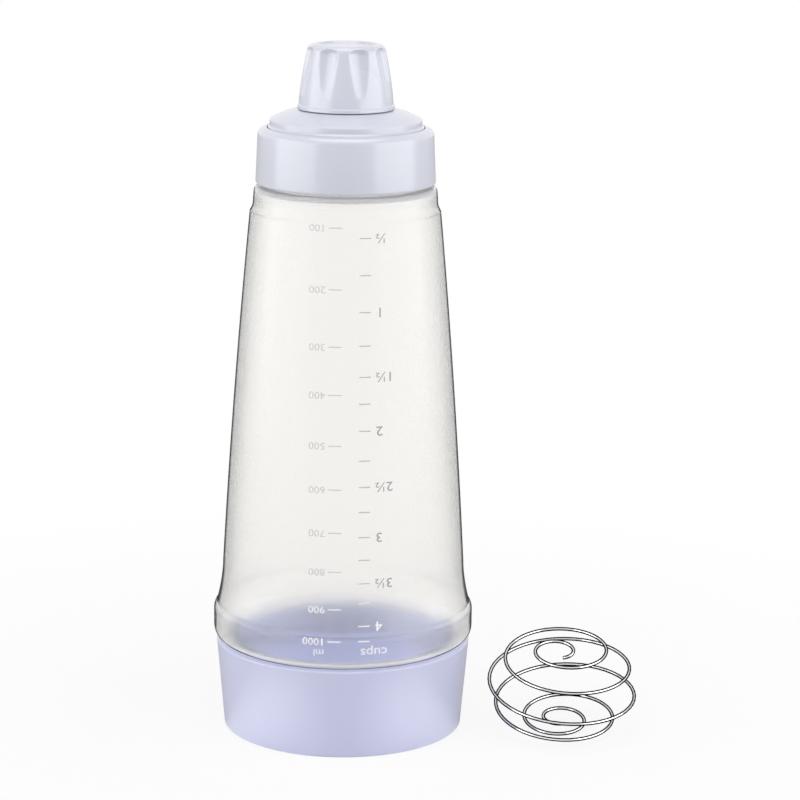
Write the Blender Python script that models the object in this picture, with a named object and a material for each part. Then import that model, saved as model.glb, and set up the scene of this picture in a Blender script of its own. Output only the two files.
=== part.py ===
"""Batter shaker bottle with screw base, screw collar, pouring spout, fluted cap and loose whisk ball.

The axis of the bottle is Z and its foot stands on Z = 0. The side with the scale faces -Y.
Sizes are written in millimetres times MM, so every value below is in metres. Angles are in degrees.
"""

import math

import bmesh
import bpy
from mathutils import Matrix, Vector

MM = 0.001
SEGMENTS = 40
SHARP_ANGLE = 30.0
MERGE_DISTANCE = 0.001 * MM

# Clearances
SEAT_GAP = 0.3 * MM
SLIDE_GAP = 0.45 * MM
THREAD_GAP = 0.35 * MM

# Base cup, the lavender screw lid that the bottle stands on
BASE_HEIGHT = 36.5 * MM
BASE_RIM_RADIUS = 50.6 * MM
BASE_TAPER = 3.1 * MM
BASE_EDGE_RADIUS = 1.0 * MM
BASE_FLOOR = 2.6 * MM
BASE_RIM_WALL = 3.5 * MM
BASE_LEDGE_WIDTH = 3.6 * MM
BASE_CORNER = 4.0 * MM

# Clear shell: skirt inside the base, bulge, tapering barrel, shoulder, neck
SHELL_WALL = 2.0 * MM
SHELL_INNER_CORNER = 1.3 * MM
SKIRT_LENGTH = 16.2 * MM
BULGE_OVERHANG = 1.15 * MM
BULGE_HEIGHT = 10.8 * MM
BULGE_UNDERSIDE_RADIUS = 3.6 * MM
BULGE_TOP_RADIUS = 4.35 * MM
BULGE_TOP_ANGLE = 44.0
BULGE_STEP = 3.75 * MM
FLARE_HEIGHT = 19.4 * MM
FLARE_SHARPNESS = 1.7
FLARE_STEPS = 4
BARREL_LENGTH = 141.0 * MM
BARREL_SWELL = 0.72 * MM
BARREL_STEPS = 5
BARREL_INNER_STEPS = 3
SHOULDER_HEIGHT = 9.8 * MM
SHOULDER_STEP = 1.3 * MM
SHOULDER_STEP_HEIGHT = 5.0 * MM
SHOULDER_STEPS = 3
SHOULDER_TUCK = 0.4 * MM
SHOULDER_EDGE_RADIUS = 2.0 * MM
SHOULDER_LEDGE = 4.75 * MM
NECK_LENGTH = 18.2 * MM
NECK_RADIUS = 30.85 * MM
NECK_CHAMFER = 0.5 * MM

# Screw threads, two starts on the base and the collar and three on the cap
WIDE_THREAD_DEPTH = 1.25 * MM
NECK_THREAD_DEPTH = 1.2 * MM
CAP_THREAD_DEPTH = 0.75 * MM
THREAD_CREST = 1.2 * MM
CAP_THREAD_CREST = 0.9 * MM
THREAD_FLANK_SLOPE = 0.56
THREAD_ROOT_SUNK = 0.5 * MM
THREAD_STEP_ANGLE = 360.0 / SEGMENTS
THREAD_END_STEPS = 2
THREAD_END_FULLNESS = 0.4
SCREW_LEAD = 10.0 * MM
SCREW_STARTS = 2
SCREW_END_MARGIN = 6.0 * MM
CAP_LEAD = 12.0 * MM
CAP_STARTS = 3
CAP_END_MARGIN = 1.9 * MM
MATE_SHORTER_STEPS = 7
CAP_MATE_SHORTER_STEPS = 3
BASE_THREAD_RISE = 2.0 * MM
NECK_THREAD_RISE = 3.6 * MM
CAP_THREAD_RISE = 2.2 * MM

# Silicone rings
BASE_SEAL_THICKNESS = 2.7 * MM
NECK_SEAL_THICKNESS = 1.2 * MM

# Screw collar
COLLAR_STANDOFF = 1.2 * MM
COLLAR_WALL = 2.7 * MM
COLLAR_TAPER = 0.9 * MM
COLLAR_FOOT_ROUND = 0.8 * MM
COLLAR_EDGE_RADIUS = 2.75 * MM
COLLAR_EDGE_ANGLE = 62.0
COLLAR_TOP_FALL = 0.9 * MM
COLLAR_LIP = 1.2 * MM

# Spout dome
FLANGE_THICKNESS = 1.5 * MM
FLANGE_LIP = 1.6 * MM
PLUG_DEPTH = 5.3 * MM
PLUG_WALL = 1.5 * MM
DOME_WALL = 1.8 * MM
DOME_INNER_CORNER = 1.0 * MM
DOME_FOOT_FLARE = 0.75 * MM
DOME_SIDE_HEIGHT = 2.5 * MM
DOME_EDGE_RADIUS = 0.9 * MM
DOME_EDGE_ANGLE = 70.0
DOME_RISE = 3.4 * MM
DOME_CROWN = 1.4
DOME_CROWN_STEPS = 3
BOSS_HEIGHT = 8.0 * MM
BOSS_WALL = 2.2 * MM
BOSS_PLATE = 2.0 * MM
BOSS_ROOM = 2.1 * MM
BOSS_CHAMFER = 0.5 * MM
SPOUT_HOLE_RADIUS = 7.0 * MM

# Silicone nozzle, held in the spout hole by its groove
NOZZLE_BORE_RADIUS = 3.5 * MM
NOZZLE_FUNNEL = 2.0 * MM
NOZZLE_TIP_WALL = 1.5 * MM
NOZZLE_TIP_FLARE = 0.6 * MM
NOZZLE_TIP_BEVEL = 1.2 * MM
NOZZLE_FLANGE_LIP = 2.6 * MM
NOZZLE_FLANGE_THICKNESS = 2.8 * MM
NOZZLE_BEAD_LIP = 1.4 * MM
NOZZLE_BEAD_HEIGHT = 1.9 * MM
NOZZLE_BEAD_CHAMFER = 0.5 * MM
NOZZLE_CLEARANCE = 0.5 * MM
NOZZLE_SEGMENTS = 24

# Fluted cap
CAP_HEIGHT = 24.9 * MM
CAP_WALL = 4.15 * MM
CAP_TAPER = 4.15 * MM
CAP_FOOT_LIP = 0.45 * MM
CAP_FOOT_CHAMFER = 0.3 * MM
CAP_FOOT_HEIGHT = 1.7 * MM
CAP_SWELL = 0.5 * MM
CAP_SIDE_STEPS = 4
CAP_EDGE_RADIUS = 2.1 * MM
CAP_ROOF = 1.7 * MM
CAP_TOP_WALL = 3.7 * MM
CAP_RIM_WIDTH = 3.7 * MM
CAP_DISH_DEPTH = 0.4 * MM
CAP_BORE_RUN = 1.2 * MM
FLUTE_COUNT = 8
FLUTE_DEPTH = 2.1 * MM
FLUTE_RADIUS = 9.4 * MM
FLUTE_HALF_ARC = 35.0
FLUTE_ARC_STEPS = 8
FLUTE_LENGTH_STEPS = 6
FLUTE_TOP_MARGIN = 0.9 * MM
FLUTE_BOTTOM_MARGIN = 3.0 * MM
FLUTE_TOP_ROUND = 1.6 * MM
FLUTE_CUTTER_OVERLAP = 0.3 * MM
FLUTE_CUTTER_BACK = 3.0 * MM
LINER_THICKNESS = 1.8 * MM

# Whisk ball: one steel wire wound from the top pole to the bottom pole, leaning towards the front
WIRE_DIAMETER = 1.4 * MM
WHISK_RADIUS = 29.6 * MM
WHISK_HALF_HEIGHT = 15.9 * MM
WHISK_EYE_RADIUS = 5.2 * MM
WHISK_FIRST_TURN = -0.95
WHISK_LAST_TURN = 4.85
WHISK_WIDEST_TURN = 2.06
WHISK_UPPER_SPARE = 0.09
WHISK_LOWER_SPARE = 0.81
WHISK_UPPER_TAPER = 1.06
WHISK_LOWER_TAPER = 3.15
WHISK_MIDDLE_TURN = 1.93
WHISK_DIP_PER_TURN = 43.9
WHISK_POINTS_PER_TURN = 24
WHISK_LEAN = 12.0
WHISK_GAP_TO_BULGE = 6.5 * MM
WHISK_FORWARD = 10.0 * MM
NEIGHBOUR_DIAMETERS = 4

# Heights, stacked from the foot
seam_height = BASE_HEIGHT + SEAT_GAP
skirt_bottom = seam_height - SKIRT_LENGTH
base_seal_bottom = skirt_bottom - SEAT_GAP - BASE_SEAL_THICKNESS
base_ledge_height = base_seal_bottom - SEAT_GAP
bulge_top = seam_height + BULGE_HEIGHT
barrel_bottom = bulge_top + FLARE_HEIGHT
barrel_top = barrel_bottom + BARREL_LENGTH
shoulder_top = barrel_top + SHOULDER_HEIGHT
neck_top = shoulder_top + NECK_LENGTH
neck_seal_bottom = neck_top + SEAT_GAP
flange_bottom = neck_seal_bottom + NECK_SEAL_THICKNESS + SEAT_GAP
flange_top = flange_bottom + FLANGE_THICKNESS
collar_lip_bottom = flange_top + SEAT_GAP
collar_top = collar_lip_bottom + COLLAR_LIP
collar_bottom = shoulder_top + COLLAR_STANDOFF
dome_edge_height = collar_top + DOME_SIDE_HEIGHT
cap_seat_height = dome_edge_height + DOME_EDGE_RADIUS + DOME_RISE
boss_top = cap_seat_height + BOSS_HEIGHT
boss_plate_bottom = boss_top - BOSS_PLATE
cap_bottom = cap_seat_height + SEAT_GAP
cap_top = cap_bottom + CAP_HEIGHT
cap_ceiling = cap_top - CAP_DISH_DEPTH - CAP_ROOF
liner_bottom = cap_ceiling - SEAT_GAP - LINER_THICKNESS
nozzle_top = liner_bottom - NOZZLE_CLEARANCE

# Radii of the base and of the shell's lower half, from the base's rim
base_foot_radius = BASE_RIM_RADIUS - BASE_TAPER
base_bore = BASE_RIM_RADIUS - BASE_RIM_WALL
base_chamber = base_bore - BASE_LEDGE_WIDTH
skirt_radius = base_bore - THREAD_GAP - WIDE_THREAD_DEPTH
bulge_radius = BASE_RIM_RADIUS + BULGE_OVERHANG
barrel_bottom_radius = bulge_radius - BULGE_STEP

# Radii of the shell's upper half, the collar and the dome, from the neck
neck_bore = NECK_RADIUS - SHELL_WALL
shoulder_edge_radius = NECK_RADIUS + SHOULDER_LEDGE
shoulder_radius = shoulder_edge_radius + SHOULDER_TUCK
barrel_top_radius = shoulder_radius + SHOULDER_STEP
collar_bore = NECK_RADIUS + NECK_THREAD_DEPTH + THREAD_GAP
collar_radius = collar_bore + COLLAR_WALL
flange_radius = collar_bore - SLIDE_GAP
dome_foot_radius = flange_radius - FLANGE_LIP
dome_radius = dome_foot_radius - DOME_FOOT_FLARE
collar_hole = dome_foot_radius + THREAD_GAP
plug_radius = neck_bore - SLIDE_GAP

# Radii of the spout and the cap, from the spout's hole
groove_radius = SPOUT_HOLE_RADIUS - SEAT_GAP
nozzle_flange_radius = groove_radius + NOZZLE_FLANGE_LIP
boss_bore = nozzle_flange_radius + BOSS_ROOM
boss_radius = boss_bore + BOSS_WALL
cap_bore = boss_radius + CAP_THREAD_DEPTH + THREAD_GAP
cap_foot_radius = cap_bore + CAP_WALL
cap_top_radius = cap_foot_radius - CAP_TAPER
cap_inner_top_radius = cap_top_radius - CAP_TOP_WALL
cap_dish_radius = cap_top_radius - CAP_RIM_WIDTH

# Turns of the whisk from its widest loop to where the wire would close in, a little past each end
whisk_upper_turns = WHISK_WIDEST_TURN - WHISK_FIRST_TURN + WHISK_UPPER_SPARE
whisk_lower_turns = WHISK_LAST_TURN - WHISK_WIDEST_TURN + WHISK_LOWER_SPARE

# Heights of the outer threads' middles at angle 0
base_thread_z = skirt_bottom + BASE_THREAD_RISE
neck_thread_z = shoulder_top + NECK_THREAD_RISE
cap_thread_z = cap_seat_height + CAP_THREAD_RISE


def arc(centre_r, centre_z, radius, start, end, steps):
    """Points of a round corner in the profile plane, angles from the outward direction."""
    points = []
    for step in range(steps + 1):
        angle = math.radians(start + (end - start) * step / steps)
        points.append((centre_r + radius * math.cos(angle), centre_z + radius * math.sin(angle)))
    return points


def make_material(name, colour, roughness, metallic=0.0, transmission=0.0, alpha=1.0):
    material = bpy.data.materials.new(name)
    material.use_nodes = True
    shader = material.node_tree.nodes["Principled BSDF"]
    shader.inputs["Base Color"].default_value = (*colour, 1.0)
    shader.inputs["Roughness"].default_value = roughness
    shader.inputs["Metallic"].default_value = metallic
    shader.inputs["Transmission Weight"].default_value = transmission
    shader.inputs["Alpha"].default_value = alpha
    return material


def add_object(name, data, material, location):
    solid = bpy.data.objects.new(name, data)
    solid.location = location
    solid.data.materials.append(material)
    bpy.context.scene.collection.objects.link(solid)
    return solid


def finish_mesh(name, shape):
    """Turns a bmesh into a mesh with its faces pointing out and its round sides shaded smooth."""
    bmesh.ops.recalc_face_normals(shape, faces=shape.faces)
    mesh = bpy.data.meshes.new(name)
    shape.to_mesh(mesh)
    shape.free()
    mesh.shade_smooth()
    mesh.set_sharp_from_angle(angle=math.radians(SHARP_ANGLE))
    return mesh


def add_turned(name, profile, material, origin_z, segments=SEGMENTS):
    """Spins a closed profile of (radius, height) points round Z. The origin sits on the axis at origin_z."""
    spun = bmesh.new()
    corners = [spun.verts.new((radius, 0.0, height - origin_z)) for radius, height in profile]
    edges = []
    for first, second in zip(corners, corners[1:] + corners[:1]):
        on_axis = first.co.x == 0.0 and second.co.x == 0.0
        if not on_axis:
            edges.append(spun.edges.new((first, second)))
    bmesh.ops.spin(
        spun,
        geom=corners + edges,
        cent=(0.0, 0.0, 0.0),
        axis=(0.0, 0.0, 1.0),
        angle=2 * math.pi,
        steps=segments,
        use_merge=True,
    )
    bmesh.ops.remove_doubles(spun, verts=spun.verts, dist=MERGE_DISTANCE)
    return add_object(name, finish_mesh(name, spun), material, (0.0, 0.0, origin_z))


def add_loft(shape, rings):
    """Adds a closed solid through rings of points with equal counts."""
    loops = [[shape.verts.new(point) for point in ring] for ring in rings]
    for near, far in zip(loops, loops[1:]):
        for index in range(len(near)):
            after = (index + 1) % len(near)
            shape.faces.new((near[index], near[after], far[after], far[index]))
    shape.faces.new(loops[0])
    shape.faces.new(loops[-1])


def add_boolean(solid, helper, operation):
    """Applies a helper to a solid as a modifier and keeps the helper out of the render."""
    helper.hide_render = True
    helper.display_type = "WIRE"
    modifier = solid.modifiers.new(helper.name, "BOOLEAN")
    modifier.operation = operation
    modifier.solver = "EXACT"
    modifier.object = helper


def thread_steps(height, lead):
    """Whole angular steps of a helical ridge that climbs through a height."""
    return int(height / lead * 360.0 / THREAD_STEP_ANGLE)


def thread_offset(depth, crest):
    """Height between mating ridges' middles, where their flanks stay THREAD_GAP apart."""
    half_root = crest / 2 + THREAD_FLANK_SLOPE * depth
    return half_root + crest / 2 - THREAD_FLANK_SLOPE * THREAD_GAP + THREAD_GAP


def add_thread(solid, name, root_radius, side, depth, crest, start_z, lead, starts, first, last):
    """Joins helical ridges to a round wall, outwards with side 1 and inwards with side -1.

    start_z is the ridges' middle at angle 0. first and last count angular steps from there. The points
    stand half a step off the wall's own edges, so that no two of them meet.
    """
    half_crest = crest / 2
    half_root = half_crest + THREAD_FLANK_SLOPE * (depth + THREAD_ROOT_SUNK)
    sunk_radius = root_radius - side * THREAD_ROOT_SUNK
    ridges = bmesh.new()
    for start in range(starts):
        rings = []
        for step in range(first, last + 1):
            turned = THREAD_STEP_ANGLE * (step + 0.5)
            angle = math.radians(turned + 360.0 * start / starts)
            middle = start_z + lead * turned / 360.0 - solid.location.z
            from_end = min(step - first, last - step, THREAD_END_STEPS) / THREAD_END_STEPS
            fullness = THREAD_END_FULLNESS + (1.0 - THREAD_END_FULLNESS) * from_end
            crest_radius = root_radius + side * depth * fullness
            section = [
                (sunk_radius, middle - half_root),
                (crest_radius, middle - half_crest),
                (crest_radius, middle + half_crest),
                (sunk_radius, middle + half_root),
            ]
            rings.append([(r * math.cos(angle), r * math.sin(angle), z) for r, z in section])
        add_loft(ridges, rings)
    helper = add_object(name, finish_mesh(name, ridges), solid.data.materials[0], solid.location)
    add_boolean(solid, helper, "UNION")


def barrel_radius(height):
    """The barrel tapers upwards and swells by BARREL_SWELL at half its length."""
    share = (height - barrel_bottom) / BARREL_LENGTH
    straight = barrel_bottom_radius + (barrel_top_radius - barrel_bottom_radius) * share
    return straight + 4 * BARREL_SWELL * share * (1 - share)


def flare_profile():
    """The bulge's rounded top edge and the hollow curve that eases it into the barrel."""
    edge = arc(bulge_radius - BULGE_TOP_RADIUS, bulge_top, BULGE_TOP_RADIUS, 0, BULGE_TOP_ANGLE, 3)
    edge_r, edge_z = edge[-1]
    ease = []
    for step in range(1, FLARE_STEPS):
        share = step / FLARE_STEPS
        reach = (edge_r - barrel_bottom_radius) * (1 - share) ** FLARE_SHARPNESS
        ease.append((barrel_bottom_radius + reach, edge_z + (barrel_bottom - edge_z) * share))
    return edge + ease


def barrel_profile(steps, inset):
    points = []
    for step in range(steps + 1):
        height = barrel_bottom + BARREL_LENGTH * step / steps
        points.append((barrel_radius(height) - inset, height))
    return points


def shoulder_profile():
    """The step in above the barrel and the rounded top edge of the shoulder."""
    points = []
    for step in range(1, SHOULDER_STEPS + 1):
        share = step / SHOULDER_STEPS
        drawn_in = SHOULDER_STEP * math.sin(math.pi / 2 * share)
        points.append((barrel_top_radius - drawn_in, barrel_top + SHOULDER_STEP_HEIGHT * share))
    centre_r = shoulder_edge_radius - SHOULDER_EDGE_RADIUS
    centre_z = shoulder_top - SHOULDER_EDGE_RADIUS
    return points + arc(centre_r, centre_z, SHOULDER_EDGE_RADIUS, 0, 90, 3)


def make_bottle_shell(material):
    outer = [(skirt_radius, skirt_bottom), (skirt_radius, seam_height)]
    underside = BULGE_UNDERSIDE_RADIUS
    outer += arc(bulge_radius - underside, seam_height + underside, underside, -90, 0, 4)
    outer += flare_profile()
    outer += barrel_profile(BARREL_STEPS, 0.0)
    outer += shoulder_profile()
    outer += [
        (NECK_RADIUS, shoulder_top),
        (NECK_RADIUS, neck_top - NECK_CHAMFER),
        (NECK_RADIUS - NECK_CHAMFER, neck_top),
    ]
    inner_shoulder = shoulder_radius - SHELL_WALL
    inner_bulge = bulge_radius - SHELL_WALL
    bulge_floor = seam_height + SHELL_WALL
    inner = [
        (neck_bore, neck_top),
        (neck_bore, shoulder_top - SHELL_WALL),
        (inner_shoulder - SHELL_INNER_CORNER, shoulder_top - SHELL_WALL),
        (inner_shoulder, shoulder_top - SHELL_WALL - SHELL_INNER_CORNER),
        (inner_shoulder, barrel_top + SHOULDER_STEP_HEIGHT / 2),
    ]
    inner += reversed(barrel_profile(BARREL_INNER_STEPS, SHELL_WALL))
    inner += [
        (inner_bulge, bulge_top),
        (inner_bulge, bulge_floor + SHELL_INNER_CORNER),
        (inner_bulge - SHELL_INNER_CORNER, bulge_floor),
        (skirt_radius - SHELL_WALL, bulge_floor),
        (skirt_radius - SHELL_WALL, skirt_bottom),
    ]
    shell = add_turned("bottle_shell", outer + inner, material, seam_height)
    skirt_steps = thread_steps(SKIRT_LENGTH - BASE_THREAD_RISE - SCREW_END_MARGIN, SCREW_LEAD)
    add_thread(shell, "skirt_thread", skirt_radius, 1, WIDE_THREAD_DEPTH, THREAD_CREST, base_thread_z,
               SCREW_LEAD, SCREW_STARTS, 0, skirt_steps)
    neck_steps = thread_steps(NECK_LENGTH - NECK_THREAD_RISE - SCREW_END_MARGIN, SCREW_LEAD)
    add_thread(shell, "neck_thread", NECK_RADIUS, 1, NECK_THREAD_DEPTH, THREAD_CREST, neck_thread_z,
               SCREW_LEAD, SCREW_STARTS, 0, neck_steps)


def make_base_cup(material):
    edge = BASE_EDGE_RADIUS
    corner = min(BASE_CORNER, base_chamber / 4)
    lean = math.degrees(math.atan2(BASE_TAPER, BASE_HEIGHT))
    profile = [(0.0, 0.0)]
    profile += arc(base_foot_radius - edge, edge, edge, -90, -lean, 3)
    profile += arc(BASE_RIM_RADIUS - edge, BASE_HEIGHT - edge, edge, -lean, 90, 3)
    profile += [
        (base_bore, BASE_HEIGHT),
        (base_bore, base_ledge_height),
        (base_chamber, base_ledge_height),
    ]
    profile += arc(base_chamber - corner, BASE_FLOOR + corner, corner, 0, -90, 2)
    profile += [(0.0, BASE_FLOOR)]
    cup = add_turned("base_cup", profile, material, 0.0)
    mate_z = base_thread_z + thread_offset(WIDE_THREAD_DEPTH, THREAD_CREST)
    skirt_steps = thread_steps(SKIRT_LENGTH - BASE_THREAD_RISE - SCREW_END_MARGIN, SCREW_LEAD)
    add_thread(cup, "cup_thread", base_bore, -1, WIDE_THREAD_DEPTH, THREAD_CREST, mate_z,
               SCREW_LEAD, SCREW_STARTS, 0, skirt_steps - MATE_SHORTER_STEPS)


def make_ring(name, inner_radius, outer_radius, bottom, thickness, material):
    profile = [
        (outer_radius, bottom),
        (outer_radius, bottom + thickness),
        (inner_radius, bottom + thickness),
        (inner_radius, bottom),
    ]
    add_turned(name, profile, material, bottom)


def make_collar(material):
    foot = COLLAR_FOOT_ROUND
    edge = COLLAR_EDGE_RADIUS
    edge_r = collar_radius - COLLAR_TAPER - edge
    edge_z = collar_top - COLLAR_TOP_FALL - edge
    profile = [(collar_bore, collar_bottom)]
    profile += arc(collar_radius - foot, collar_bottom + foot, foot, -90, 0, 2)
    profile += arc(edge_r, edge_z, edge, 0, COLLAR_EDGE_ANGLE, 4)
    profile += [
        (collar_hole, collar_top),
        (collar_hole, collar_lip_bottom),
        (collar_bore, collar_lip_bottom),
    ]
    collar = add_turned("collar", profile, material, collar_bottom)
    mate_z = neck_thread_z - thread_offset(NECK_THREAD_DEPTH, THREAD_CREST)
    neck_steps = thread_steps(NECK_LENGTH - NECK_THREAD_RISE - SCREW_END_MARGIN, SCREW_LEAD)
    add_thread(collar, "collar_thread", collar_bore, -1, NECK_THREAD_DEPTH, THREAD_CREST, mate_z,
               SCREW_LEAD, SCREW_STARTS, MATE_SHORTER_STEPS, neck_steps)


def crown_profile():
    """The dome's rounded rim and the swelling slope from it up to the foot of the cap."""
    edge = arc(dome_radius - DOME_EDGE_RADIUS, dome_edge_height, DOME_EDGE_RADIUS, 0, DOME_EDGE_ANGLE, 3)
    edge_r, edge_z = edge[-1]
    slope = []
    for step in range(1, DOME_CROWN_STEPS + 1):
        share = step / DOME_CROWN_STEPS
        fall = (cap_seat_height - edge_z) * (1 - share) ** DOME_CROWN
        slope.append((edge_r + (cap_foot_radius - edge_r) * share, cap_seat_height - fall))
    return edge + slope


def make_spout_dome(material):
    inner_side = dome_radius - DOME_WALL
    plug_bore = plug_radius - PLUG_WALL
    profile = [
        (plug_radius, flange_bottom - PLUG_DEPTH),
        (plug_radius, flange_bottom),
        (flange_radius, flange_bottom),
        (flange_radius, flange_top),
        (dome_foot_radius, flange_top),
    ]
    flare = DOME_FOOT_FLARE
    profile += arc(dome_foot_radius, collar_top + flare, flare, 270, 180, 2)
    profile += crown_profile()
    profile += [
        (boss_radius, cap_seat_height),
        (boss_radius, boss_top - BOSS_CHAMFER),
        (boss_radius - BOSS_CHAMFER, boss_top),
        (SPOUT_HOLE_RADIUS, boss_top),
        (SPOUT_HOLE_RADIUS, boss_plate_bottom),
        (boss_bore, boss_plate_bottom),
        (boss_bore, cap_seat_height - DOME_WALL),
        (cap_foot_radius, cap_seat_height - DOME_WALL),
        (inner_side - DOME_INNER_CORNER, dome_edge_height - DOME_WALL + DOME_INNER_CORNER),
        (inner_side, dome_edge_height - DOME_WALL),
        (inner_side, flange_top),
        (plug_bore, flange_bottom),
        (plug_bore, flange_bottom - PLUG_DEPTH),
    ]
    dome = add_turned("spout_dome", profile, material, flange_bottom)
    cap_steps = thread_steps(BOSS_HEIGHT - CAP_THREAD_RISE - CAP_END_MARGIN, CAP_LEAD)
    add_thread(dome, "boss_thread", boss_radius, 1, CAP_THREAD_DEPTH, CAP_THREAD_CREST, cap_thread_z,
               CAP_LEAD, CAP_STARTS, 0, cap_steps)


def make_nozzle(material):
    groove_bottom = boss_plate_bottom - SEAT_GAP
    groove_top = boss_top + SEAT_GAP
    flange_low = groove_bottom - NOZZLE_FLANGE_THICKNESS
    bead_top = groove_top + NOZZLE_BEAD_HEIGHT
    bead_radius = groove_radius + NOZZLE_BEAD_LIP
    tip_radius = NOZZLE_BORE_RADIUS + NOZZLE_TIP_WALL
    profile = [
        (nozzle_flange_radius, flange_low),
        (nozzle_flange_radius, groove_bottom),
        (groove_radius, groove_bottom),
        (groove_radius, groove_top),
        (bead_radius, groove_top),
        (bead_radius, bead_top - NOZZLE_BEAD_CHAMFER),
        (bead_radius - NOZZLE_BEAD_CHAMFER, bead_top),
        (tip_radius + NOZZLE_TIP_FLARE, nozzle_top - NOZZLE_TIP_BEVEL),
        (tip_radius, nozzle_top),
        (NOZZLE_BORE_RADIUS, nozzle_top),
        (NOZZLE_BORE_RADIUS, bead_top),
        (NOZZLE_BORE_RADIUS + NOZZLE_FUNNEL, flange_low),
    ]
    add_turned("nozzle", profile, material, flange_low, NOZZLE_SEGMENTS)


def cap_radius(height):
    """Outside of the cap above its foot lip: a taper that swells by CAP_SWELL at half its height."""
    low = cap_bottom + CAP_FOOT_HEIGHT
    high = cap_top - CAP_EDGE_RADIUS
    share = (height - low) / (high - low)
    low_radius = cap_foot_radius - CAP_FOOT_LIP
    return low_radius + (cap_top_radius - low_radius) * share + 4 * CAP_SWELL * share * (1 - share)


def flute_reach(below_top, length):
    """Depth of a flute: rounded at its top, then less and less until it runs out at its length."""
    depth = FLUTE_DEPTH * math.cos(math.pi / 2 * below_top / length)
    if below_top < FLUTE_TOP_ROUND:
        depth *= math.sqrt(1 - (1 - below_top / FLUTE_TOP_ROUND) ** 2)
    return depth


def cut_flutes(cap):
    """Hollows for the fingers, evenly round the cap, with one rib at the front."""
    top_z = cap_top - FLUTE_TOP_MARGIN
    length = top_z - cap_bottom - FLUTE_BOTTOM_MARGIN
    stations = [(0.0, -FLUTE_CUTTER_OVERLAP)]
    for below in (FLUTE_TOP_ROUND / 4, FLUTE_TOP_ROUND):
        stations.append((below, flute_reach(below, length)))
    for step in range(1, FLUTE_LENGTH_STEPS + 1):
        below = FLUTE_TOP_ROUND + (length - FLUTE_TOP_ROUND) * step / FLUTE_LENGTH_STEPS
        stations.append((below, flute_reach(below, length)))
    stations.append((length + FLUTE_BOTTOM_MARGIN / 2, -FLUTE_CUTTER_OVERLAP))
    cutters = bmesh.new()
    for index in range(FLUTE_COUNT):
        facing = Matrix.Rotation(math.radians(360.0 * (index + 0.5) / FLUTE_COUNT - 90.0), 4, "Z")
        rings = []
        for below, depth in stations:
            centre_r = cap_radius(top_z - below) - depth + FLUTE_RADIUS
            start, end = 180 - FLUTE_HALF_ARC, 180 + FLUTE_HALF_ARC
            section = arc(centre_r, 0.0, FLUTE_RADIUS, start, end, FLUTE_ARC_STEPS)
            side_r, side_y = section[0]
            back_r = side_r + FLUTE_CUTTER_BACK
            section += [(back_r, -side_y), (back_r, side_y)]
            height = top_z - below - cap.location.z
            rings.append([facing @ Vector((x, y, height)) for x, y in section])
        add_loft(cutters, rings)
    mesh = finish_mesh("cap_flutes", cutters)
    helper = add_object("cap_flutes", mesh, cap.data.materials[0], cap.location)
    add_boolean(cap, helper, "DIFFERENCE")


def make_nozzle_cap(material):
    foot_z = cap_bottom + CAP_FOOT_HEIGHT
    top_edge_z = cap_top - CAP_EDGE_RADIUS
    profile = [
        (0.0, cap_ceiling),
        (cap_inner_top_radius, cap_ceiling),
        (cap_inner_top_radius, liner_bottom),
        (cap_bore, boss_top + CAP_BORE_RUN),
        (cap_bore, cap_bottom),
        (cap_foot_radius - CAP_FOOT_CHAMFER, cap_bottom),
        (cap_foot_radius, cap_bottom + CAP_FOOT_CHAMFER),
    ]
    for step in range(CAP_SIDE_STEPS + 1):
        height = foot_z + (top_edge_z - foot_z) * step / CAP_SIDE_STEPS
        profile.append((cap_radius(height), height))
    profile += arc(cap_top_radius - CAP_EDGE_RADIUS, top_edge_z, CAP_EDGE_RADIUS, 30, 90, 2)
    profile += [
        (cap_dish_radius, cap_top),
        (cap_dish_radius - CAP_DISH_DEPTH, cap_top - CAP_DISH_DEPTH),
        (0.0, cap_top - CAP_DISH_DEPTH),
    ]
    cap = add_turned("nozzle_cap", profile, material, cap_bottom)
    cut_flutes(cap)
    mate_z = cap_thread_z - thread_offset(CAP_THREAD_DEPTH, CAP_THREAD_CREST)
    cap_steps = thread_steps(BOSS_HEIGHT - CAP_THREAD_RISE - CAP_END_MARGIN, CAP_LEAD)
    add_thread(cap, "cap_thread", cap_bore, -1, CAP_THREAD_DEPTH, CAP_THREAD_CREST, mate_z,
               CAP_LEAD, CAP_STARTS, CAP_MATE_SHORTER_STEPS, cap_steps)


def make_liner(material):
    radius = cap_inner_top_radius - SEAT_GAP
    profile = [
        (0.0, liner_bottom),
        (radius, liner_bottom),
        (radius, liner_bottom + LINER_THICKNESS),
        (0.0, liner_bottom + LINER_THICKNESS),
    ]
    add_turned("cap_liner", profile, material, liner_bottom)


def whisk_point(turn):
    """Middle of the wire, as loops counted from the first one that passes the front.

    The loops close in to the axis at the top, and to an eye of their own radius at the bottom.
    """
    from_widest = turn - WHISK_WIDEST_TURN
    if from_widest > 0:
        closing = math.cos(math.pi / 2 * from_widest / whisk_lower_turns) ** WHISK_LOWER_TAPER
        radius = WHISK_EYE_RADIUS + (WHISK_RADIUS - WHISK_EYE_RADIUS) * closing
    else:
        closing = math.cos(math.pi / 2 * from_widest / whisk_upper_turns) ** WHISK_UPPER_TAPER
        radius = WHISK_RADIUS * closing
    dip = math.radians(WHISK_DIP_PER_TURN * (turn - WHISK_MIDDLE_TURN))
    angle = 2 * math.pi * turn - math.pi / 2
    return Vector((radius * math.cos(angle), radius * math.sin(angle), -WHISK_HALF_HEIGHT * math.sin(dip)))


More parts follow.
